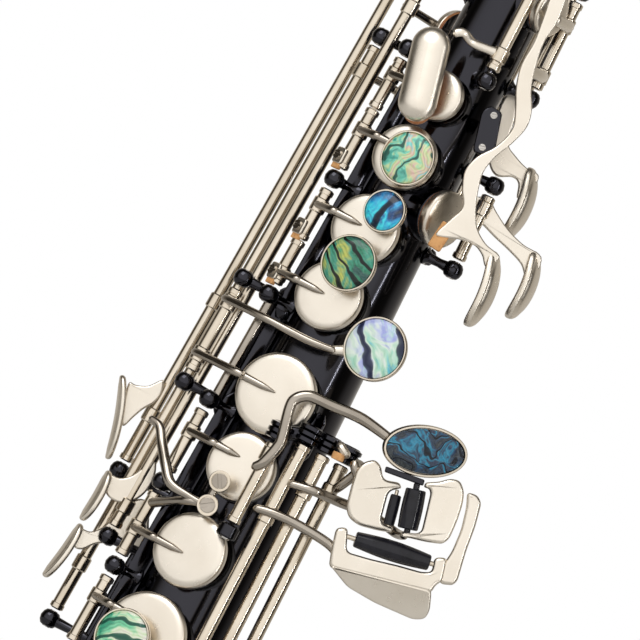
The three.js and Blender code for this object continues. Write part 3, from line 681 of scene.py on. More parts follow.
PEARL_SHELL = {  # seed, patch scale, swirl, vein scale, vein turn, vein width, vein color
    "b_pearl": (3, 260, 0.012, 52, 20, 0.07, (0.03, 0.10, 0.08)),
    "bis_pearl": (7, 150, 0.005, 40, 8, 0.16, (0.0, 0.004, 0.02)),
    "a_pearl": (11, 150, 0.005, 78, -58, 0.17, (0.002, 0.006, 0.005)),
    "g_pearl": (5, 150, 0.007, 28, -40, 0.09, (0.01, 0.015, 0.05)),
    "f_pearl": (17, 190, 0.006, 60, 70, 0.16, (0.01, 0.09, 0.06)),
    "e_pearl": (23, 180, 0.007, 44, 40, 0.09, (0.01, 0.04, 0.06)),
    "d_pearl": (29, 180, 0.006, 50, -50, 0.1, (0.01, 0.05, 0.04)),
    "g_sharp_inlay": (13, 170, 0.020, 60, 100, 0.07, (0.0, 0.002, 0.008)),
}

MATERIALS = {
    "satin": satin_nickel(), "polished": polished_nickel(), "gunmetal": gunmetal(),
    "black": black_nickel(), "steel": steel(), "leather": leather(), "cork": cork(),
    "gloss_black": gloss_black(), "ebonite": ebonite(), "cane": cane(),
}
for pearl, shell in PEARL_SHELL.items():
    MATERIALS[pearl] = abalone(f"abalone_{pearl}", PEARL_COLORS[pearl], *shell)


# ------------------------------------------------------------------ bell, body and neck
def wall_loop(outside, wall):
    """A closed profile from an outside line of (radius, height) pairs and a wall thickness."""
    return list(outside) + [(r - wall, h) for r, h in reversed(outside)]


def bell():
    def flare(t):
        return outer(BELL_TOP) + (BELL_RADIUS - outer(BELL_TOP)) * t ** 3.1

    high = BELL_TOP - EDGE_GAP
    outside = [(flare(k / 44), high * (1 - k / 44)) for k in range(43)]
    rim = [(BELL_RADIUS - 0.5, 3.1), (BELL_RADIUS, 2.6), (BELL_RADIUS, 0.7), (BELL_RADIUS - 0.6, 0),
           (BELL_RADIUS - 3.6, 0), (BELL_RADIUS - 4.3, 0.7), (BELL_RADIUS - 3.4, 2.2)]
    inside = [(r - WALL, h) for r, h in reversed(outside)]
    key = Key("root", "bell")
    key.add("black", revolve(outside + rim + inside, BORE, 128, closed=True))
    key.finish_as("bell_shell")
    beads = Key("root", "bell_ring", "neck_ring")
    low, upper = outer(58), outer(553)
    beads.add("polished", revolve([
        (low + 0.3, 60.6), (low + 1.3, 60.6), (low + 2.0, 61.2), (low + 1.3, 61.8), (low + 1.9, 62.4),
        (low + 1.3, 63.2), (low + 0.3, 63.2)], BORE, 72, closed=True))
    beads.add("polished", revolve([
        (upper + 0.3, 553), (upper + 1.4, 553), (upper + 2.2, 554), (upper + 1.5, 555.2),
        (upper + 2.2, 556.4), (upper + 2.2, 558), (upper + 1.4, 559), (upper + 0.3, 559)],
        BORE, 64, closed=True))
    beads.finish_as("body_beads")


def chimney(hole, steps=40):
    """A drawn tone-hole wall: its foot follows the body and its lip is rolled."""
    theta, z, r = hole
    inner, thick = r * BORE_SHARE, 1.15
    wall = outer(z)

    def foot(x, y):
        return math.sqrt(max(outer(z + y) ** 2 - x * x, 1.0)) - wall - 0.45

    rows = [(inner + thick + 0.8, None, 0.35), (inner + thick + 0.1, None, 1.1),
            (inner + thick, CHIMNEY - 0.7, 0), (inner + thick + 0.18, CHIMNEY - 0.35, 0),
            (inner + thick - 0.1, CHIMNEY - 0.02, 0), (inner + 0.15, CHIMNEY, 0),
            (inner, CHIMNEY - 0.25, 0), (inner, None, 0)]
    points = []
    for radius, height, lift in rows:
        for i in range(steps):
            a = 2 * math.pi * i / steps
            x, y = radius * math.cos(a), radius * math.sin(a)
            level = foot(x, y) + lift if height is None else height
            points.append((x, y, min(level, CHIMNEY - 0.75) if height is None else level))
    return moved(seat(theta, z), points, bands(len(rows), steps, closed=True))


def cut(obj, meshes):
    """The object with these solids cut away."""
    cutter = build("cutter", meshes, "black")
    modifier = obj.modifiers.new("cut", "BOOLEAN")
    modifier.operation, modifier.solver, modifier.object = "DIFFERENCE", "EXACT", cutter
    bpy.context.view_layer.update()
    shaped = obj.evaluated_get(bpy.context.evaluated_depsgraph_get())
    mesh = bpy.data.meshes.new_from_object(shaped)
    obj.modifiers.clear()
    obj.data = mesh
    smooth(mesh)
    bpy.data.objects.remove(cutter)
    return obj


def body_tube():
    low, high = BELL_TOP + EDGE_GAP, BODY_TOP
    heights = [low + (high - low) * k / 60 for k in range(61)]
    outside = [(outer(z), z) for z in heights]
    shell = build("body_shell", [revolve(wall_loop(outside, WALL), BORE,
                                         96, closed=True)], "black")
    holes = [rod(spot(theta, z, 0, -outer(z) * 0.55), spot(theta, z, 0, 6), r * BORE_SHARE, 40, 0.05)
             for theta, z, r in HOLES.values()]
    cut(shell, holes)
    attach(shell, "root")
    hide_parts("body_tube")
    walls = Key("root")
    walls.add("black", *[chimney(hole) for hole in HOLES.values()])
    walls.finish_as("tone_hole_walls")


def post(key, line, z, foot_theta, foot):
    """A ball-headed post: turned foot, waisted stem, ball and the pivot screw in it."""
    head = on_line(line, z)
    base = spot(foot_theta, z, 0, foot)
    length = (head - base).length
    stem = [(0, 0), (2.5, 0), (2.6, 0.35), (2.0, 0.9), (1.5, 1.7), (1.3, max(length * 0.5, 1.9)),
            (1.55, max(length - BALL * 0.85, 2.1)), (0, length)]
    up = (on_line(line, z + 1) - head).normalized()
    barrel = [(0, -2.35), (1.5, -2.35), (2.0, -2.15), (2.6, -1.3), (BALL, 0), (2.6, 1.3), (2.0, 2.15),
              (1.5, 2.35), (0, 2.35)]
    key.add("black", revolve(stem, along(base, head), 24), revolve(barrel, along(head, head + up), 28))
    for way in (up, -up):
        key.add("steel", *screw(along(head + way * 2.3, head + way * 4), 1.15, 0.22))


def rib(theta, low, high):
    """A flat strip on the body and, standing on it, the blade that carries the posts."""
    out = outward(seat(theta, low))
    strips = []
    for height, r, wide, end in ((0.45, 0.62, 2.7, 0), (2.6, 2.9, 0.3, 2)):
        path = [spot(theta, z, 0, height) for z in np.linspace(low + end, high - end, 9)]
        strips.append(sweep(path, r, up=out, wide=wide, sides=16, per=1))
    return strips


RIBS = {  # node: (rib angle, low, high, posts as (line, height))
    "upper_stack_rib": (-53, 389, 476, [(STACK, 393.2), (STACK, 430.4), (STACK, 472.6)]),
    "lower_stack_rib": (-53, 219, 364, [(STACK, 223.5), (STACK, 248.8), (STACK, 278.4), (STACK, 306),
                                        (STACK, 332.8), (STACK, 359.4)]),
    "g_rib": (-66, 356, 398, [(G_LINE, 360.6), (G_LINE, 394)]),
    "side_rib": (-86, 280, 320, [(SIDE_C, 312.2), (SIDE_B_FLAT, 284)]),
    "low_rod_rib": (31, 64.2, 131, [(LOW_B_FLAT, 66), (LOW_B, 95.6), (LOW_C_SHARP, 129.6)]),
    "low_c_rib": (-36, 160, 226, [(LITTLE_FINGER, 162.7), (LITTLE_FINGER, 223.4)]),
}
BETWEEN_STACKS = (-53, 7.6)  # the fixed rod that joins the two ribs
LONE_POSTS = [  # line, height, angle of the foot
    (SIDE_E, 330, -112), (SIDE_E, 516, -95), (SIDE_C, 494.8, -86), (SIDE_B_FLAT, 473.2, -86),
    (PALM_D, 476.8, 102), (PALM_D, 510.6, 102), (PALM_E_FLAT, 472.8, 134), (PALM_E_FLAT, 530.2, 134),
    (PALM_F, 423.8, 98), (PALM_F, 450.2, 98), (FRONT_F, 473.9, 30), (FRONT_F, 547.8, 30),
    (THUMB_LINE, 424.8, 150), (THUMB_LINE, 455.2, 150), (VENT_LINE, 552.8, 158),
    (LOWER_VENT_LINE, 511.2, -158), (LOWER_VENT_LINE, 530.8, -158),
]
CLIP = [(-2.9, -6.6), (1.6, -7.4), (3.1, -4.6), (2.6, 6.0), (-1.2, 7.2), (-3.2, 4.8)]


def posts():
    for node, (theta, low, high, places) in RIBS.items():
        key = Key("root", node)
        key.add("black", *rib(theta, low, high))
        for line, z in places:
            post(key, line, z, theta, 1.0)
        key.finish_as(node + "_shape")
    key = Key("root")
    for line, z, theta in LONE_POSTS:
        post(key, line, z, theta, 0.1)
    key.add("gunmetal", rod(on_line(BETWEEN_STACKS, 361), on_line(BETWEEN_STACKS, 391.6), 1.5))
    clip = laid(facing(11.5, LEVER_TURN), 11.9, 462.2, 0, math.radians(14))
    key.add("black", slab(rounded(CLIP, 1.2), 2.2, clip, 0.5))
    key.add("black", rod(clip @ Vector((0, 0, -4)), clip @ Vector((0, 0, 0.4)), 2.2))
    for x, y in ((0.4, 4.6), (-0.6, -4.9)):
        key.add("steel", *screw(laid(clip, x, y, 2.1), 1.0, 0.5))
    key.finish_as("lone_posts")


def neck():
    key = Key("root", "neck")
    tube = [(outer(z), z) for z in np.linspace(BODY_TOP + 14.3, NECK_TOP, 12)]
    key.add("black", revolve(wall_loop(tube, WALL), BORE, 64, closed=True))
    r = outer(BODY_TOP)
    key.add("black", revolve([(r - 0.6, 560.3), (r + 1.2, 560.3), (r + 1.6, 561), (r + 1.2, 562),
                              (r + 1.2, 571.6), (r + 1.6, 572.6), (r + 1.2, 574.3), (r - 0.6, 574.3)],
                             BORE, 64, closed=True))
    key.finish_as("neck_shape")
    sleeve = Key("root", "neck_cork")
    inner = outer(612) + 0.1
    sleeve.add("cork", revolve([(inner, 612), (8.3, 612), (8.7, 612.6), (8.7, 638.2), (8.2, 639),
                                (inner, 639)], BORE, 48, closed=True))
    sleeve.finish_as("neck_cork_shape")


BEAK_SLOPE = math.radians(-14)


def mouthpiece():
    outside = [(0, 618), (9.9, 618), (10.6, 618.3), (10.9, 619), (10.9, 622), (10.5, 622.5),
               (10.8, 623.2), (10.8, 640), (10.2, 655), (9.1, 680), (8.3, 700), (8.0, 702), (0, 702)]
    obj = build("mouthpiece_shape", [revolve(outside, BORE, 72)], "ebonite")

    def block(size, turn, place):
        x, y, z = (v / 2 for v in size)
        outline = [(-x, -y), (x, -y), (x, y), (-x, y)]
        matrix = BORE @ Matrix.Translation(place) @ Matrix.Rotation(turn, 4, "X")
        return slab(outline, 2 * z, matrix @ Matrix.Translation((0, 0, -z)), 0.01)

    hollow = revolve([(0, 610), (9.1, 610), (9.1, 642), (4.4, 650), (4.4, 672), (0, 672)], BORE, 48)
    cut(obj, [block((40, 30, 80), 0, (0, 21.2, 689)), hollow, block((8, 8, 30), 0, (0, 5.2, 683))])
    cut(obj, [block((40, 30, 80), BEAK_SLOPE, (0, -15.8, 702))])
    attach(obj, "root")
    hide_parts("mouthpiece")
    blade = Key("root", "reed")
    across = basis(Vector((1, 0, 0)), Vector((0, 0, 1)), Vector((0, -1, 0)), Vector((AXIS_X, 9.1, 0)))
    stock = [(-5.5, 649.2), (5.5, 649.2), (5.6, 677)]
    tip = [(5.7, 696), (4.6, 700.2), (2.4, 701.6), (0, 702), (-2.4, 701.6), (-4.6, 700.2), (-5.7, 696)]
    outline = stock + tip + [(-5.6, 677)]
    blade.add("cane", thinned(slab(outline, 2.5, across, 0.2)))
    blade.finish_as("reed_shape")
    band = Key("root", "ligature")
    band.add("polished", revolve([(11.2, 652), (12.0, 652), (12.4, 652.8), (12.1, 654), (12.1, 670),
                                  (12.4, 671.2), (12.0, 672), (11.2, 672)], BORE, 64, closed=True))
    for z in (657, 667):
        end = Vector((AXIS_X + 9, 12.6, z))
        band.add("polished", rod(Vector((AXIS_X - 9, 12.6, z)), end, 1.1))
        for x in (-6, 2):
            lug = Vector((AXIS_X + x, 12.4, z))
            band.add("polished", rod(lug, lug + Vector((4, 0, 0)), 2))
        band.add("polished", rod(end, end + Vector((4.6, 0, 0)), 3, 14, 0.5))
    band.finish_as("ligature_shape")


def thinned(mesh):
    """The reed's vamp: its outer face slopes down to a thin tip."""
    points, faces = mesh
    out = []
    for p in points:
        share = min(max((p.z - 677) / 24.5, 0), 1)
        thin = p.y - 6.6
        out.append(Vector((p.x, 6.6 + thin * (1 - 0.86 * share ** 0.8), p.z)))
    return out, faces


def fittings():
    ring = Key("root", "strap_ring")
    centre = spot(180, 345, 0, 7)
    eye = basis(Vector((0, 1, 0)), Vector((0, 0, 1)), Vector((1, 0, 0)), centre)
    section = [(5 + 1.4 * math.cos(a), 1.4 * math.sin(a)) for a in np.linspace(0, 2 * math.pi, 17)[:-1]]
    ring.add("black", revolve(section, eye, 48, closed=True))
    foot = [(0, -0.6), (4.0, -0.6), (4.0, 0.5), (3.3, 1.2), (2.2, 1.8), (1.8, 2.6), (0, 2.6)]
    ring.add("black", revolve(foot, seat(180, 345, 0, 0.3), 36))
    ring.finish_as("strap_ring_shape")
    hook = Key("root", "thumb_hook")
    hook.add("black", slab(oval(7, 12), 1.9, seat(180, 296, 0, 0.2), 0.7))
    hook.add("black", sweep([spot(180, 296, 0, 1), spot(180, 296, 0, 9), spot(180, 292.5, 0, 16.5),
                             spot(180, 285, 0, 20.4), spot(180, 276, 0, 21)], [2.2, 2.0, 2.1, 2.3, 2.1],
                            up=(0, 0.3, 1), wide=2.1, sides=20))
    for z in (287.5, 304.5):
        hook.add("steel", *screw(seat(180, z, 0, 1.9), 2.0, 0.9))
    hook.finish_as("thumb_hook_shape")
    rest = Key("root", "thumb_rest")
    rest.add("gloss_black", revolve([(0, -0.4), (7, -0.4), (8.1, 0.8), (8.5, 2.1), (8.1, 2.9), (6.5, 3.5),
                                     (3, 3.9), (0, 4)], seat(180, 412, 0, 0.4), 48))
    rest.finish_as("thumb_rest_shape")


def guard():
    key = Key("root", "low_key_guard")
    for z in (64.5, 96.5, 130.5):
        out = outward(seat(100, z))
        key.add("black", sweep([spot(126, z, 0, 0.6), spot(121, z, 0, 9), spot(112, z, 0, 15.6),
                                spot(98, z, 0, 17.6), spot(82, z, 0, 17.5)], [1.5, 1.3, 1.3, 1.35, 1.5],
                               up=out, wide=1.5, sides=16))
        key.add("black", slab(oval(4, 5), 1.1, seat(126, z, 0, -0.1), 0.4))
        key.add("black", ball(spot(82, z, 0, 17.5), 2.0))
    key.add("black", rod(spot(82, 64.5, 0, 17.5), spot(82, 130.5, 0, 17.5), 1.5))
    for z in (80, 113):
        middle = spot(82, z, 0, 17.4)
        key.add("polished", rod(middle, spot(80, z, 0, 13.4), 1.5))
        key.add("polished", rod(middle, spot(82.4, z, 0, 19.4), 2.6, 16, 0.4))
        key.add("cork", rod(spot(80, z, 0, 13.6), spot(79.6, z, 0, 11.4), 2.6, 20, 0.3))
    key.finish_as("low_key_guard_shape")


def bracket():
    """The black block at the top of the four tubes: ribbed collars on a common bridge."""
    key = Key("root", "table_bracket")
    z = 363.4
    places = [(G_SHARP_LINE, 360.2), (LOW_B_FLAT, z), (LOW_B, z), (LOW_C_SHARP, z)]
    for line, height in places:
        low, high = on_line(line, height - 2.6), on_line(line, height + 2.6)
        rise = (high - low).length
        ridges = [(0, 0), (3.0, 0)]
        for k in range(3):
            ridges += [(r, rise * (k + share) / 3) for r, share in ((3.7, 0.12), (3.7, 0.7), (3.0, 0.85))]
        ridges += [(2.7, rise), (1.4, rise), (1.2, rise - 0.5), (0, rise - 0.5)]
        key.add("black", revolve(ridges, along(low, high), 12))
    heads = [on_line(line, height) for line, height in places]
    for a, b in zip(heads, heads[1:]):
        key.add("black", sweep([a, b], 1.3, up=outward(seat(40, z)), wide=1.5, per=1))
    key.add("black", sweep([spot(45, z, 0, 0.6), spot(45, z, 0, 5), heads[2]], [2.6, 1.7, 1.8], up=(0, 0, 1)))
    key.add("black", *rib(45, 356, 370))
    foot = spot(10, 328.4, 0, 0.2)
    low = on_line(G_SHARP_LINE, 329.2)
    key.add("black", rod(on_line(G_SHARP_LINE, 327.2), on_line(G_SHARP_LINE, 331.2), 3.0, 28, 0.5))
    key.add("black", sweep([foot, low], [2.0, 1.4], per=1))
    key.add("steel", *screw(along(on_line(G_SHARP_LINE, 327.3), on_line(G_SHARP_LINE, 325)), 1.5, 0.5))
    key.finish_as("table_bracket_shape")


# ------------------------------------------------------------------ key pieces
def cup(key, hole, dome=0.0):
    theta, z, r = hole
    at = seat(theta, z, 0, CUP_LIFT)
    key.add("satin", revolve([
        (0, 0.4), (r - 0.2, 0.4), (r, 0.6), (r, 1.9), (r - 0.12, 2.4), (r - 0.45, 2.85), (r - 1.1, 3.15),
        (r - 2.2, 3.32), (r * 0.45, 3.38 + dome * 0.8), (0, 3.4 + dome)], at, 56))
    key.add("leather", revolve([(0, -0.36), (r - 1.2, -0.36), (r - 0.5, -0.16), (r - 0.28, 0.15),
                                (r - 0.3, 0.45), (0, 0.45)], at, 56))
    key.add("steel", revolve([(0, -0.62), (r * 0.18, -0.66), (r * 0.42, -0.5), (r * 0.44, -0.3),
                              (0, -0.3)], at, 32))


def hinge(key, line, low, high, r=ROD, collars=()):
    """A hinge tube with a turned shoulder at each end and a collar wherever an arm leaves it."""
    key.add("polished", rod(on_line(line, low), on_line(line, high), r, 28, 0.25))
    for z in (low + 1.0, high - 1.0):
        key.add("polished", collar(line, z, 1.5, r + 0.28, 0.12))
    for z in collars:
        key.add("polished", collar(line, z, 4.4, r + 0.5, 0.35))


def claw(key, line, hole, z=None, reach=0.4, past=1.6, height=0.0):
    """A slim pointed arm that starts past its hinge tube and lies across the top of its cup."""
    theta, middle, r = hole
    z = middle if z is None else z
    side = math.copysign(1, line[0] - theta)
    out = outward(seat(theta, z))
    away = seat(line[0], z).to_3x3().col[0] * side
    start = on_line(line, z) + out * 1.3
    path = [start + away * past, start - away * 0.8 + out * height,
            spot(theta, z, side * (r + 0.5), CUP_TOP + 0.9 + height)]
    path += [spot(theta, z, side * r * share, CUP_TOP + rise)
             for share, rise in ((0.85, 0.7), (reach * 0.6 + 0.34, 0.55), (reach, 0.4))]
    key.add("gunmetal", sweep(path, [0.9, 1.15, 1.25, 1.25, 1.1, 0.3], up=out, sides=16))


def cup_key(body, line, hole_name, tube, collars=(), r=ROD, arm_z=None, dome=0.0):
    """A key with its hinge tube, its cup and the arm between them."""
    key = Key(body, body)
    hinge(key, line, *tube, r, collars)
    cup(key, HOLES[hole_name], dome)
    claw(key, line, HOLES[hole_name], arm_z)
    return key


def pearl_dish(key, pearl, r, matrix):
    key.add("polished", revolve([
        (0, -0.1), (r - 1.6, -0.1), (r - 0.5, 0.25), (r, 0.9), (r, 1.9), (r - 0.22, 2.2), (r - 0.55, 2.2),
        (r - 0.75, 1.9), (r - 0.8, 1.2), (0, 1.2)], matrix, 64))
    rim = r - 0.85
    points, faces = revolve([(0, 1.2), (rim, 1.2), (rim, 1.95), (rim - 0.35, 2.3), (rim * 0.8, 2.6),
                             (rim * 0.55, 2.86), (rim * 0.3, 3.02), (0, 3.1)], None, 64)
    set_stone(key, pearl, points, faces, matrix)


def set_stone(key, name, points, faces, matrix):
    """A shell inlay with its own origin, so that its figure lies the same way in every finger touch."""
    mesh = bpy.data.meshes.new(name)
    mesh.from_pydata([tuple(Vector(p) * MM) for p in points], [], faces)
    stone = shown(name + "_shell", mesh, name)
    placed = rest_turn(key.body) @ matrix if key.body in OPEN_AT_REST else matrix
    spin = placed.to_3x3().to_4x4()
    spin.translation = placed.translation * MM
    stone.matrix_world = spin
    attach(stone, key.body)
    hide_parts(name)


STACK_KEYS = {  # hole: tube from and to, arm height, touch (s, z, r, h)
    "c_vent": (453.2, 469.2, 464, None),
    "b": (433.8, 452.9, 446, (3.5, 443.9, 8.05, 8.6)),
    "bis": (411, 427, 421.8, (5, 427.8, 6.3, 8.6)),
    "a": (396.6, 410.7, 400, (3.5, 410.3, 8.2, 9.9)),
    "f_sharp": (309.4, 329.4, 318, None),
    "f": (281.8, 302.6, 296, (-3, 289.5, 8.3, 8.6)),
    "e": (252.2, 275, 268, (-3, 261.5, 8.3, 8.6)),
    "d": (226.9, 245.4, 239, (-3, 233, 8.3, 8.6)),
}


def stack_keys():
    for name, (low, high, arm_z, touch) in STACK_KEYS.items():
        key = Key(f"{name}_key", f"{name}_key")
        hole = HOLES[name]
        cup(key, hole)
        hinge(key, STACK, low, high, collars=(arm_z,))
        claw(key, STACK, hole, arm_z, 0.75 if name == "c_vent" else 0.1)
        if touch:
            s, z, r, h = touch
            pearl_dish(key, f"{name}_pearl", r, seat(0, z, s, h))
            rise = h - CUP_TOP
            stub = [(0, 0), (3.6, 0), (2.6, 0.6), (2.3, rise), (3.2, rise + 0.7), (0, rise + 0.7)]
            stub_z = hole[1] + max(-6, min(6, z - hole[1]))
            key.add("satin", revolve(stub, seat(0, stub_z, s * 0.6, CUP_TOP - 0.2), 28))
        if name in ("b", "bis", "a"):
            lug(key, low + 3.2)
        if name == "f_sharp":
            adjusters(key)
        key.finish()


def lug(key, z):
    """A small stop on a stack key's tube, with its screw and cork."""
    base, out = on_line(STACK, z), outward(seat(STACK[0], z))
    flat = seat(-30, z)
    key.add("satin", slab(bar_outline(2.1, -2.4, 2.4, 0.9), 1.2, shifted(flat, base + out * 1.4), 0.35))
    key.add("gunmetal", *screw(shifted(flat, base + out * 2.5), 1.5, 0.7))
    key.add("cork", slab(bar_outline(1.6, -3.9, -2.3, 0.3), 1.3, shifted(flat, base + out * 1.0), 0.2))


def adjusters(key):
    """Two slotted adjusting screws on the F sharp key's bridge over the G sharp cup."""
    view = facing(25.4)
    up = outward(view)
    bridge = [(-33.6, 347.0, -14), (-30.2, 346.0, -12.6), (-27, 342, -10.5), (-22.8, 337.2, -7),
              (-18.8, 333.4, -4.4), (-12.4, 332.6, -2.4), (-7.4, 332.4, -2)]
    key.add("gunmetal", sweep([view @ Vector(p) for p in bridge], [0.8, 1.1, 1.25, 1.3, 1.2, 0.9, 0.9],
                              up=up, wide=1.2))
    strut = [on_line(STACK, 326), view @ Vector((-14, 330.6, -4)), view @ Vector((-9, 332.4, -2.4))]
    key.add("gunmetal", sweep(strut, [1.5, 1.2, 1.0], up=up))
    link = [view @ Vector((-7.4, 332.4, -3)), view @ Vector((-6.9, 340, -3))]
    key.add("gunmetal", sweep(link, 1.1, per=1))
    rim = [(0, -1.4), (1.7, -1.4), (2.8, 0.1), (3.1, 1.2), (2.9, 1.8), (2.35, 1.8), (2.3, 1.2), (0, 1.2)]
    for x, y, turn in ((-6.7, 340.2, -60), (-6.6, 332.8, 35)):
        place = laid(view, x, y, -2.4, math.radians(turn))
        key.add("polished", revolve(rim, place, 32))
        key.add("gunmetal", *screw(laid(place, 0, 0, 0.9), 2.15, 1.1))


def g_keys():
    key = Key("g_key", "g_key")
    s, z, r, h = 20.7, 392.6, 9.2, 6.6
    hinge(key, G_LINE, 364.2, 390.4, 1.95, (369.3, 386))
    cup(key, HOLES["g"])
    claw(key, G_LINE, HOLES["g"], 369.3, 0.0, 2.2, 1.2)
    out = outward(seat(-10, 386))
    side = seat(-66, 386).to_3x3().col[0]
    key.add("gunmetal", sweep([
        on_line(G_LINE, 386.6) - side * 2.2 + out * 1.2, on_line(G_LINE, 386.4) + side * 3 + out * 2.6,
        spot(0, 386.2, -12, 10.6), spot(0, 386.2, 2, 9.2), spot(0, 387, 10, 7.6)],
        [0.85, 1.1, 1.15, 1.15, 1.0], up=out, sides=16))
    key.add("satin", sweep([spot(0, 386.8, 9, 7.2), spot(0, 388.4, 12.5, 6.7), spot(0, z - 1.4, s - 4, h)],
                           [0.9, 1.3, 1.7], up=out, wide=1.3))
    pearl_dish(key, "g_pearl", r, seat(0, z, s, h))
    key.finish()
    sharp = Key("g_sharp_key", "g_sharp_key")
    cup(sharp, HOLES["g_sharp"])
    hinge(sharp, STACK, 336.2, 356, collars=(349,))
    claw(sharp, STACK, HOLES["g_sharp"], 349, 0.15)
    sharp.finish()


# ------------------------------------------------------------------ left little-finger table
OVAL = {"x": 15.3, "y": 11.4, "turn": -8, "a": 12, "b": 7.25, "h": 2}


def g_sharp_lever():
    key = Key("g_sharp_lever", "g_sharp_lever")
    hinge(key, G_SHARP_LINE, 331.7, 356.6, 1.8, (353,))
    at = table(OVAL["x"], OVAL["y"], OVAL["h"], OVAL["turn"])
    a, b = OVAL["a"], OVAL["b"]
    key.add("polished", slab(oval(a, b), 1.3, at, 0.5))
    rim = oval(1, 1)
    rows = [(a - 0.05, b - 0.05, 1.0), (a, b, 1.7), (a - 0.3, b - 0.3, 2.3), (a - 0.75, b - 0.75, 2.35),
            (a - 0.95, b - 0.95, 1.9), (a - 1.0, b - 1.0, 1.0)]
    points = [(x * ra, y * rb, h) for ra, rb, h in rows for x, y in rim]
    key.add("polished", moved(at, points, bands(len(rows), len(rim), closed=True)))
    dome = slab(oval(a - 1.05, b - 1.05), 0.9, Matrix.Translation((0, 0, 1.25)), 0.25, crown=0.9)
    set_stone(key, "g_sharp_inlay", *dome, at)
    bend = [(-1.8, 348.4, 28.6), (-0.2, 350.6, 29.4), (1.2, 356.0, 29.8), (1.1, 359.0, 29.8),
            (-0.9, 367.4, 29.6), (-0.5, 370.4, 29.6), (2.0, 372.5, 29.6), (4.9, 373.0, 29.6),
            (9.2, 373.2, 29.6), (18.3, 373.9, 29.8)]
    path = [in_view(*place, LEVER_TURN) for place in bend]
    path.append(table_spot(OVAL["x"] - 8.6, OVAL["y"] + 2.6, OVAL["h"] - 0.4))
    key.add("gunmetal", sweep(path, [1.2, 1.4] + [1.5] * 8 + [1.2], up=outward(facing(0)), wide=1.1,
                              sides=18))
    key.add("cork", rod(table_spot(-7.6, 10.6, -2.4), table_spot(-8.4, 8.6, -2.4), 1.8, 20))
    key.add("satin", rod(table_spot(-5.6, 12, -2.2), table_spot(-7.5, 10.8, -2.4), 2.6, 24, 0.7))
    key.finish()


LOW_KEYS = {  # body: (line, lower end of the tube, hole)
    "low_c_sharp_key": (LOW_C_SHARP, 132.8, "c_sharp"),
    "low_b_key": (LOW_B, 98.8, "low_b"),
    "low_b_flat_key": (LOW_B_FLAT, 69.2, "low_b_flat"),
}
LOW_TUBES_TOP = 360.2
LOW_ARMS = {  # body: (height on its tube, bends across, up and deep, then places on the table)
    "low_c_sharp_key": (352, [(21.5, 354.6, 21.4), (24.4, 361.6, 24.6)],
                        [(-3.6, 7.4, -1.0), (-2.6, 3, -0.2)]),
    "low_b_key": (349, [(9.9, 348.9, 28.6), (17.0, 350.2, 28.6)],
                  [(-6.7, -3.4, -10.4), (2.5, -7.2, -10.6), (9.0, -12.0, -8.0), (10.8, -12.6, 0.2)]),
    "low_b_flat_key": (338, [(4.3, 338.4, 29.5), (8.8, 339.3, 29.7), (17.2, 339.7, 29.4),
                             (27.5, 338.8, 28.6)], [(-8, -19.6, 0.4)]),
}
C_SHARP_PLATE = [(-1.4, 8.3), (1.7, 9.0), (3.4, 7.2), (4.0, 3.4), (8.6, 2.6), (9.3, 1.0), (5.6, 0.3),
                 (3.3, -8.6), (6.9, -9.9), (6.7, -11.2), (3.2, -10.8), (-2.9, -9.2), (-5.6, -7.0),
                 (-6.3, -4.0), (-4.8, 2.0), (-3.5, 6.2)]
B_PLATE = [(16.0, 0.8), (16.6, 2.1), (20.4, 2.3), (23.4, 3.2), (26.2, 2.6), (27.3, -0.4), (26.9, -3.8),
           (25.3, -8.7), (23.2, -13.4), (21.3, -14.9), (17.0, -14.4), (9.8, -12.7), (9.8, -11.6),
           (15.3, -12.0), (17.9, -1.0), (17.6, 0.3)]
B_FLAT_PLATE = [(-8.4, -10.2), (-5.1, -10.2), (-5.6, -16.9), (1.3, -18.9), (8.7, -20.6), (15.3, -22.5),
                (18.0, -22.5), (18.7, -18.4), (22.2, -18.6), (21.8, -21.3), (21.0, -25.0), (19.1, -26.1),
                (17.8, -28.3), (-10.5, -21.3), (-9.7, -15.9)]
B_FLAT_FOLD = [(-10.5, -21.3), (17.8, -28.3)]
B_FLAT_LIP = [(-10.3, -20.6), (17.9, -27.6), (17.5, -33.4), (16.2, -36.0), (12.8, -36.2), (2.1, -31.4),
              (-5.4, -26.9)]
RIM_STRIP = [(27.8, -0.4), (30.8, -1.4), (31.8, -3.6), (30.1, -10.1), (27.6, -16.7), (25.2, -24.9),
             (23.8, -26.2), (19.9, -25.8), (20.9, -20.8), (23.6, -16.9), (26.1, -11.0), (27.6, -4.6)]


PLATES = {  # body: (outline, height, thickness)
    "low_c_sharp_key": [(C_SHARP_PLATE, 0, 2.3)],
    "low_b_key": [(B_PLATE, 0.1, 2.3)],
    "low_b_flat_key": [(B_FLAT_PLATE, 0.1, 2.3), (RIM_STRIP, -0.2, 2.2)],
}


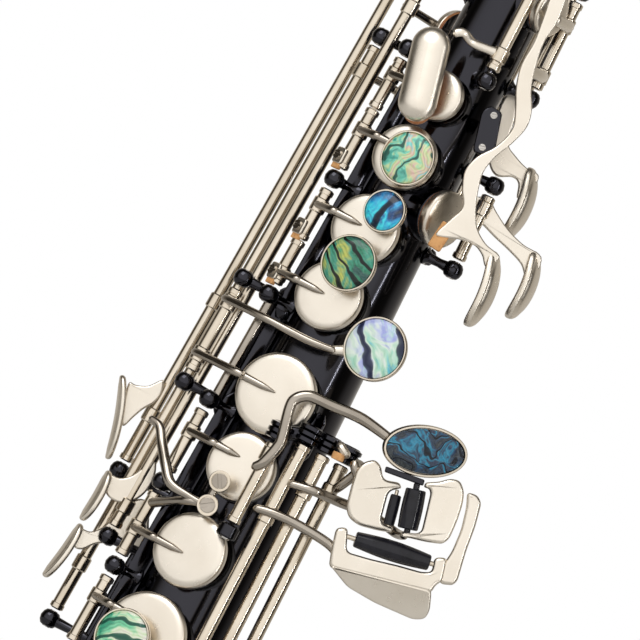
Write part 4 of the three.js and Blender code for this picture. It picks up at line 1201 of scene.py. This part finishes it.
def low_keys():
    for body, (line, low, hole_name) in LOW_KEYS.items():
        key = Key(body, body)
        theta, z, r = HOLES[hole_name]
        start, bend, ends = LOW_ARMS[body]
        hinge(key, line, low, LOW_TUBES_TOP, 1.9, (z, start))
        cup(key, HOLES[hole_name])
        side = math.copysign(1, theta - line[0])
        key.add("polished", sweep([
            on_line(line, z), spot((line[0] + theta) / 2, z, 0, 13.5),
            spot(theta, z, -side * r * 0.55, CUP_TOP + 1.0),
            spot(theta, z, side * r * 0.2, CUP_TOP + 0.1)], [1.6, 1.5, 1.4, 0.5],
            up=outward(seat(theta, z)), wide=1.3, sides=16))
        path = [in_view(*place, LEVER_TURN) for place in bend]
        path += [table_spot(*place) for place in ends]
        if body == "low_c_sharp_key":
            path.insert(0, on_line(line, start))
        key.add("gunmetal", sweep(path, [1.1] + [1.35] * (len(path) - 2) + [1.1],
                                  up=outward(facing(0)), wide=1.05, sides=16))
        for outline, h, thick in PLATES[body]:
            key.add("satin", slab(rounded(outline, 1.7), thick, table(0, 0, h), 0.95))
        if body == "low_c_sharp_key":
            key.add("polished", rod(table_spot(8.1, 0.6, 1.1), table_spot(5.4, -10.4, 1.1), 0.55, 16))
        if body == "low_b_key":
            key.add("gloss_black", rod(table_spot(14.3, 1.8, 1), table_spot(11.3, -12.4, 1), 0.9, 16))
            strip = rounded([(5.2, 5.0), (5.6, 6.6), (16.4, 2.8), (15.9, 1.1)], 0.5)
            key.add("black", slab(strip, 1.6, table(0, 0, 0.4), 0.4))
        if body == "low_b_flat_key":
            tilt = table(0, 0, 0.1) @ fold(*B_FLAT_FOLD, 17)
            key.add("satin", slab(rounded(B_FLAT_LIP, 1.5), 2.3, tilt, 0.6))
            key.add("polished", rod(table_spot(-5.6, -12.6, 1.2), table_spot(19.2, -20.6, 1.2), 0.7, 16))
        key.finish()


def fold(a, b, angle):
    """A turn about the line from a to b in a plate's own plane."""
    a, b = Vector((*a, 2.3)), Vector((*b, 2.3))
    return Matrix.Translation(a) @ Matrix.Rotation(math.radians(angle), 4, b - a) @ Matrix.Translation(-a)


def rollers():
    """Barrel-shaped rollers, each on its own pin."""
    places = {
        "table_roller_small": (table(5.7, -9.2, 1.1), table(7.8, -0.8, 1.1), 1.6, 1.5),
        "table_roller_upper": (table(11.6, -10.8, 1), table(14, 0.2, 1), 3.05, 2.85),
        "table_roller_lower": (table(-3.2, -13.4, 1.2), table(17.4, -20, 1.2), 2.9, 2.2),
        "low_c_roller": (seat(0, 207.2, -5, 13), seat(0, 207.2, 9, 13), 1.5, 1.2),
    }
    for body, (a, b, r, ends) in places.items():
        a, b = a.translation, b.translation
        length = (b - a).length
        profile = [(0, 0), (ends - 0.3, 0), (ends, 0.3)]
        profile += [(ends + (r - ends) * math.sin(math.pi * t), 0.3 + (length - 0.6) * t)
                    for t in np.linspace(0.08, 0.92, 11)]
        profile += [(ends, length - 0.3), (ends - 0.3, length), (0, length)]
        key = Key(body, body)
        key.add("gloss_black", revolve(profile, along(a, b), 36))
        key.finish()


# ------------------------------------------------------------------ palm, front F and side keys
def web(key, outline, depth, thickness=1.9):
    """A flat plate arm, cut to an outline across and up, facing the front at its depth."""
    key.add("satin", slab(curvy(outline, 5), thickness, facing(depth - thickness / 2), 0.55))


def upright(low, high, front):
    """Directions of a long touch from its low end to its high one: wide, tall and out."""
    tall = (high - low).normalized()
    wide = tall.cross(front).normalized()
    return wide, tall, wide.cross(tall)


def paddle(key, top, bottom, depth, half_width, turn, thickness=2.2, crown=0.9, bend=0.0):
    """A leaf-shaped finger touch, turned about its length to face the side."""
    a, b = in_view(*top, depth), in_view(*bottom, depth)
    wide, tall, out = upright(b, a, outward(facing(depth)))
    t = math.radians(turn)
    wide, out = wide * math.cos(t) - out * math.sin(t), wide * math.sin(t) + out * math.cos(t)
    half = (a - b).length / 2
    outline = [(half_width * math.copysign(abs(math.cos(u)) ** 0.8, math.cos(u)),
                half * math.copysign(abs(math.sin(u)) ** 0.8, math.sin(u)))
               for u in np.linspace(0, 2 * math.pi, 65)[:-1]]
    matrix = basis(wide, tall, out, (a + b) / 2 - out * thickness / 2)
    points, faces = slab(outline, thickness, Matrix.Identity(4), 0.8, crown=crown)
    bent = [Vector((p.x, p.y, p.z - bend * (p.y / half) ** 2)) for p in points]
    key.add("satin", moved(matrix, bent, faces))


PALM_TOUCH = (4.6, 66)  # half width and turn


def palm_keys():
    d = cup_key("palm_d_key", PALM_D, "palm_d", (480, 507.2), (484, 500), arm_z=500)
    web(d, [(12.8, 505.4), (14.2, 497.7), (13.6, 490.5), (15.0, 482.5), (16.8, 477), (19.3, 472.7),
            (20.4, 467.6), (18.9, 461.6), (16.6, 456.1), (15.6, 450.9), (16.6, 446.0), (18.6, 440.7),
            (21.4, 436.2), (25.6, 433.4), (30.7, 432.0), (28.6, 427.8), (26.0, 430.2), (22.7, 431.6),
            (18.3, 431.0), (12.0, 428.9), (13.4, 434.2), (15.0, 439.4), (12.5, 443.8), (10.8, 448.8),
            (12.0, 453.8), (15.4, 459.0), (17.0, 465.2), (15.2, 470.4), (12.4, 476.2), (10.8, 482.5),
            (11.0, 489.5), (10.0, 497.4), (9.4, 503.0)], 20.8, 2.2)
    for z in (484, 500):
        stub = [on_line(PALM_D, z), in_view(17.4, z - 1, 11), in_view(13.4, z - 2, 19.4)]
        d.add("satin", sweep(stub, [2.0, 1.8, 1.6]))
    paddle(d, (30.6, 433.2), (33.6, 411.0), 19.8, *PALM_TOUCH, bend=2.2)
    d.add("cork", slab(bar_outline(2, -4, 4, 0.6), 2.2, laid(facing(19.4), 13.6, 429.4, 0, -0.1), 0.3))
    d.finish()
    e = cup_key("palm_e_flat_key", PALM_E_FLAT, "palm_e_flat", (476, 526.8), (480, 520), arm_z=520)
    web(e, [(13.4, 478), (17.0, 471), (18.6, 463.6), (22.7, 461.0), (27.0, 459.6), (30.6, 459.4),
            (31.0, 455.6), (28.4, 450.8), (26.6, 454.6), (24.2, 455.4), (20.0, 453.6), (16.2, 456.4),
            (13.0, 464), (11.6, 474)], -5)
    paddle(e, (30.0, 460.6), (32.0, 438.6), -4.4, *PALM_TOUCH, bend=2.2)
    e.finish()
    f = cup_key("palm_f_key", PALM_F, "palm_f", (427, 447), (443,), dome=0.5)
    web(f, [(17.4, 444.8), (21.2, 446.4), (24.6, 444.2), (29.8, 441.4), (35.6, 439.6), (41.8, 438.9),
            (42.7, 433.4), (40.5, 431.8), (37.6, 434.4), (32.6, 436.2), (27.4, 437.6), (22.4, 439.2),
            (17.8, 440.0)], 1.4)
    paddle(f, (41.4, 439.8), (43.4, 419.4), 1.0, 4.6, 68, bend=2.0)
    f.finish()


def front_f():
    key = cup_key("front_f_key", FRONT_F, "front_f", (477.2, 544.4), (482, 538), dome=0.4)
    low, high = Vector((AXIS_X - 1.5, -26.4, 453.9)), Vector((AXIS_X - 8.7, -25.6, 480.2))
    front = outward(facing(0, 0))
    wide, tall, out = upright(low, high, front)
    half = (high - low).length / 2
    r = 5.5
    arc = [(r * math.cos(a), half - r + r * math.sin(a)) for a in np.linspace(0, math.pi, 25)]
    outline = arc + [(-x, -y) for x, y in arc]
    matrix = basis(wide, tall, out, (high + low) / 2 - out * 1.2)
    key.add("satin", capsule(outline, half - r, 3.6, matrix))
    plate = [(x * 0.93, y * 0.98) for x, y in outline]
    key.add("polished", slab(plate, 1.6, laid(matrix, 0, 0, -1.2), 0.4))
    lining = [(x * 0.8, y * 0.93) for x, y in outline]
    key.add("leather", slab(lining, 1.4, laid(matrix, 0, -1.4, -2.4), 0.4))
    view = facing(20)
    path = [view @ Vector(p) for p in ((-9.5, 481.2, 2.4), (-7.4, 482.4, 2.2), (-4.0, 481.4, 0.2),
                                       (0.4, 481.8, -1.0), (4.6, 482.4, -1.8))]
    key.add("satin", sweep(path, [0.8, 0.85, 0.85, 0.9, 1.0], up=outward(facing(0)), wide=1.5, sides=18))
    key.finish()


def capsule(outline, straight, rise, matrix):
    """A long pill with a rounded back."""
    n = len(outline)
    rows = [[(x, y, 0) for x, y in outline]]
    for k in range(1, 11):
        a = math.radians(9 * k)
        f = max(math.cos(a), 0.0)
        rows.append([(x * f, math.copysign(min(abs(y), straight) + max(abs(y) - straight, 0) * f, y),
                      rise * math.sin(a) * 0.96 + 0.4) for x, y in outline])
    points = [p for row in rows for p in row]
    return moved(matrix, points, [list(range(n))] + bands(len(rows), n))


SIDE_TUBE = 1.75
SIDE_KEYS = {  # name: (line, tube, collars), (web outline, depth, thickness), touch as paddle takes it
    "side_e": (
        (SIDE_E, (333.2, 512.8), (348, 385, 506)),
        ([(-44.2, 353.0), (-42.0, 353.6), (-38.9, 355.0), (-36.0, 358.4), (-34.6, 355.0), (-35.2, 351.6),
          (-37.1, 348.4), (-38.4, 345.2), (-39.6, 341.8), (-41.0, 342.6), (-42.6, 346.8)], -9.6, 2.0),
        ((-45.6, 354.6), (-38.2, 331.6), -7.4, 3.9, -82, 1.7, 0.5, -1.2)),
    "side_c": (
        (SIDE_C, (315.4, 491.6), (322, 484)),
        ([(-36.6, 327.4), (-33.6, 328.2), (-31.2, 330.2), (-29.4, 333.6), (-27.4, 337.4), (-25.2, 333.0),
          (-25.6, 327.4), (-28.2, 323.4), (-31.8, 321.8), (-35.4, 322.8)], -2.2, 1.9),
        ((-36.4, 328.6), (-37.0, 312.6), -1.4, 4.4, -80, 1.8, 0.6, -0.8)),
    "side_b_flat": (
        (SIDE_B_FLAT, (287.2, 470), (302, 462)),
        ([(-37.2, 310.2), (-34.0, 311.0), (-31.6, 313.6), (-29.8, 318.4), (-28.2, 323.2), (-25.8, 325.8),
          (-22.8, 325.4), (-20.2, 320.2), (-17.6, 315.8), (-18.6, 312.6), (-22.0, 311.9), (-26.4, 311.0),
          (-30.8, 308.8), (-33.8, 305.4), (-36.4, 305.4)], -4.6, 2.2),
        ((-36.4, 311.6), (-38.8, 293.6), -2.6, 4.4, -80, 1.8, 0.6, -0.8)),
}


def side_keys():
    for name, ((line, tube, collars), flat, touch) in SIDE_KEYS.items():
        key = cup_key(f"{name}_key", line, name, tube, collars, SIDE_TUBE)
        web(key, *flat)
        if name == "side_b_flat":
            stop = laid(facing(-4.9), -17.6, 314.2, 0, 0.5)
            key.add("cork", slab(bar_outline(1.5, -2.6, 2.6, 0.5), 2.2, stop, 0.3))
        paddle(key, *touch)
        key.finish()


# ------------------------------------------------------------------ right little finger and octave keys
def little_finger_keys():
    c = cup_key("low_c_key", LITTLE_FINGER, "c", (166, 194), (178, 191), arm_z=178)
    e = cup_key("low_e_flat_key", LITTLE_FINGER, "e_flat", (197.2, 220), (208, 216), arm_z=208)
    out = outward(seat(0, 200))
    for key, arm, outline, plate_z in (
            (c, [on_line(LITTLE_FINGER, 191), spot(-12, 194, 0, 12), spot(0, 200, -4, 12.4)],
             bar_outline(9, -3.6, 3, 1.8), 202),
            (e, [on_line(LITTLE_FINGER, 216), spot(-12, 216, 0, 12), spot(0, 215, -4, 12.4)],
             bar_outline(9, -2.4, 4.4, 1.8), 214)):
        key.add("polished", sweep(arm, [1.6, 1.5, 1.4], up=out, wide=1.3))
        key.add("satin", slab(outline, 2.1, seat(0, plate_z, 2, 12), 0.7))
    c.add("polished", rod(spot(0, 207.2, -7, 13), spot(0, 207.2, 11, 13), 0.5, 14))
    for s in (-6.6, 10.6):
        c.add("satin", sweep([spot(0, 204, s, 13), spot(0, 207.4, s, 13)], [0.9, 0.9], up=out, per=1))
    c.finish()
    e.finish()


def octave_keys():
    lever = Key("thumb_octave_lever", "thumb_octave_lever")
    hinge(lever, THUMB_LINE, 428, 452, collars=(436,))
    lever.add("polished", sweep([on_line(THUMB_LINE, 436), spot(165, 434, 0, 8.6), spot(180, 432, -2, 6.6)],
                                [1.6, 1.5, 1.4], up=outward(seat(165, 434)), wide=1.3))
    lever.add("satin", slab(oval(6, 8), 1.8, seat(180, 430, -3, 5.4), 0.7, crown=0.8))
    lever.finish()
    for body, line, low, high, z in (("upper_octave_key", VENT_LINE, 456, 550, 546),
                                     ("body_octave_key", LOWER_VENT_LINE, 514, 528, 520)):
        key = Key(body, body)
        hinge(key, line, low, high, 1.7, (z,))
        out = outward(seat(180, z))
        at = seat(180, z, 0, CUP_LIFT)
        cap = [(0, 0.2), (3.1, 0.2), (3.2, 0.5), (3.2, 1.6), (2.6, 2.3), (0, 2.6)]
        key.add("satin", revolve(cap, at, 32))
        key.add("leather", revolve([(0, -0.3), (2.5, -0.3), (2.9, 0.2), (0, 0.2)], at, 32))
        halfway = (line[0] + math.copysign(180, line[0])) / 2
        arm = [on_line(line, z), spot(halfway, z, 0, 7), spot(180, z, 0, CUP_LIFT + 2.6)]
        key.add("polished", sweep(arm, [1.5, 1.3, 0.8], up=out, wide=1.2))
        key.finish()


# ------------------------------------------------------------------ studio
def floor():
    mesh = bpy.data.meshes.new("floor")
    half = 1.1
    corners = [(-half, -half, 0), (half, -half, 0), (half, half, 0), (-half, half, 0)]
    mesh.from_pydata(corners, [], [[0, 1, 2, 3]])
    n = Nodes("floor_paper")
    fibres = n.noise(60, 4)
    n.color(n.ramp(fibres, [(0.3, (0.86, 0.86, 0.85)), (0.7, (0.90, 0.90, 0.89))]))
    n.rough(n.span(fibres, 0.75, 0.9))
    n.bump(fibres, 0.1, 0.0002)
    mesh.materials.append(n.material)
    obj = bpy.data.objects.new("floor", mesh)
    bpy.context.scene.collection.objects.link(obj)


ROOM = [  # how far towards the front, from 0 behind to 1, and how bright
    (0.0, 0.6), (0.28, 0.4), (0.42, 0.08), (0.62, 0.035), (0.70, 0.12), (0.78, 0.75), (0.86, 1.08),
    (1.0, 1.2),
]


def studio_light():
    """A white room with a bright screen in front of the object and grey walls around the screen."""
    world = bpy.data.worlds.new("studio")
    bpy.context.scene.world = world
    world.use_nodes = True
    tree = world.node_tree
    background = tree.nodes["Background"]
    coordinates = tree.nodes.new("ShaderNodeTexCoord")
    screen = tree.nodes.new("ShaderNodeVectorMath")
    screen.operation = "DOT_PRODUCT"
    t = math.radians(VIEW_TURN - 14)
    screen.inputs[1].default_value = Vector((math.sin(t), -math.cos(t), 0.18)).normalized()
    tree.links.new(coordinates.outputs["Generated"], screen.inputs[0])
    ramp = tree.nodes.new("ShaderNodeValToRGB")
    elements = ramp.color_ramp.elements
    while len(elements) < len(ROOM):
        elements.new(0.5)
    for element, (position, level) in zip(elements, ROOM):
        element.position = position
        warm = min(level, 1)
        element.color = (level, level * (0.88 + 0.10 * warm), level * (0.70 + 0.25 * warm), 1)
    shift = tree.nodes.new("ShaderNodeMapRange")
    shift.inputs["From Min"].default_value = -1.0
    tree.links.new(screen.outputs["Value"], shift.inputs["Value"])
    tree.links.new(shift.outputs["Result"], ramp.inputs["Fac"])
    path = tree.nodes.new("ShaderNodeLightPath")
    mix = tree.nodes.new("ShaderNodeMix")
    mix.data_type = "RGBA"
    tree.links.new(path.outputs["Is Camera Ray"], mix.inputs[0])
    tree.links.new(ramp.outputs["Color"], mix.inputs[6])
    mix.inputs[7].default_value = (1, 1, 1, 1)
    tree.links.new(mix.outputs[2], background.inputs["Color"])
    background.inputs["Strength"].default_value = 1.0


def soft_box(name, azimuth, elevation, distance, size, watts):
    t, e = math.radians(azimuth), math.radians(elevation)
    toward = Vector((math.sin(t) * math.cos(e), -math.cos(t) * math.cos(e), math.sin(e)))
    light = bpy.data.lights.new(name, "AREA")
    light.shape = "RECTANGLE"
    light.size, light.size_y = size
    light.energy = watts
    obj = bpy.data.objects.new(name, light)
    bpy.context.scene.collection.objects.link(obj)
    obj.location = Vector((AXIS_X * MM, 0, 0.39)) + toward * distance
    obj.rotation_mode = "QUATERNION"
    obj.rotation_quaternion = toward.to_track_quat("Z", "Y")


def camera():
    """The close view from the front and a little below, rolled so that the bore leans right."""
    azimuth, elevation, roll = (math.radians(a) for a in (15, -2.5, 28))
    distance = 1.6
    target = facing(0) @ Vector((-4.92, 393.9, 0)) * MM
    back = Vector((math.sin(azimuth) * math.cos(elevation), -math.cos(azimuth) * math.cos(elevation),
                   math.sin(elevation)))
    right = Vector((math.cos(azimuth), math.sin(azimuth), 0))
    up = back.cross(right)
    turned_right = right * math.cos(roll) + up * math.sin(roll)
    turned_up = up * math.cos(roll) - right * math.sin(roll)
    data = bpy.data.cameras.new("camera")
    data.lens, data.sensor_width = 319.5, 36
    obj = bpy.data.objects.new("camera", data)
    bpy.context.scene.collection.objects.link(obj)
    obj.matrix_world = basis(turned_right, turned_up, back, target + back * distance)
    bpy.context.scene.camera = obj
    bpy.context.scene.view_settings.view_transform = "Standard"


bell()
body_tube()
posts()
neck()
mouthpiece()
fittings()
guard()
bracket()
stack_keys()
g_keys()
g_sharp_lever()
low_keys()
rollers()
palm_keys()
front_f()
side_keys()
little_finger_keys()
octave_keys()
floor()
studio_light()
soft_box("key_light", -25, 40, 1.2, (0.7, 0.7), 4.5)
soft_box("edge_light", 66, 3, 1.3, (0.022, 1.4), 3.4)
camera()
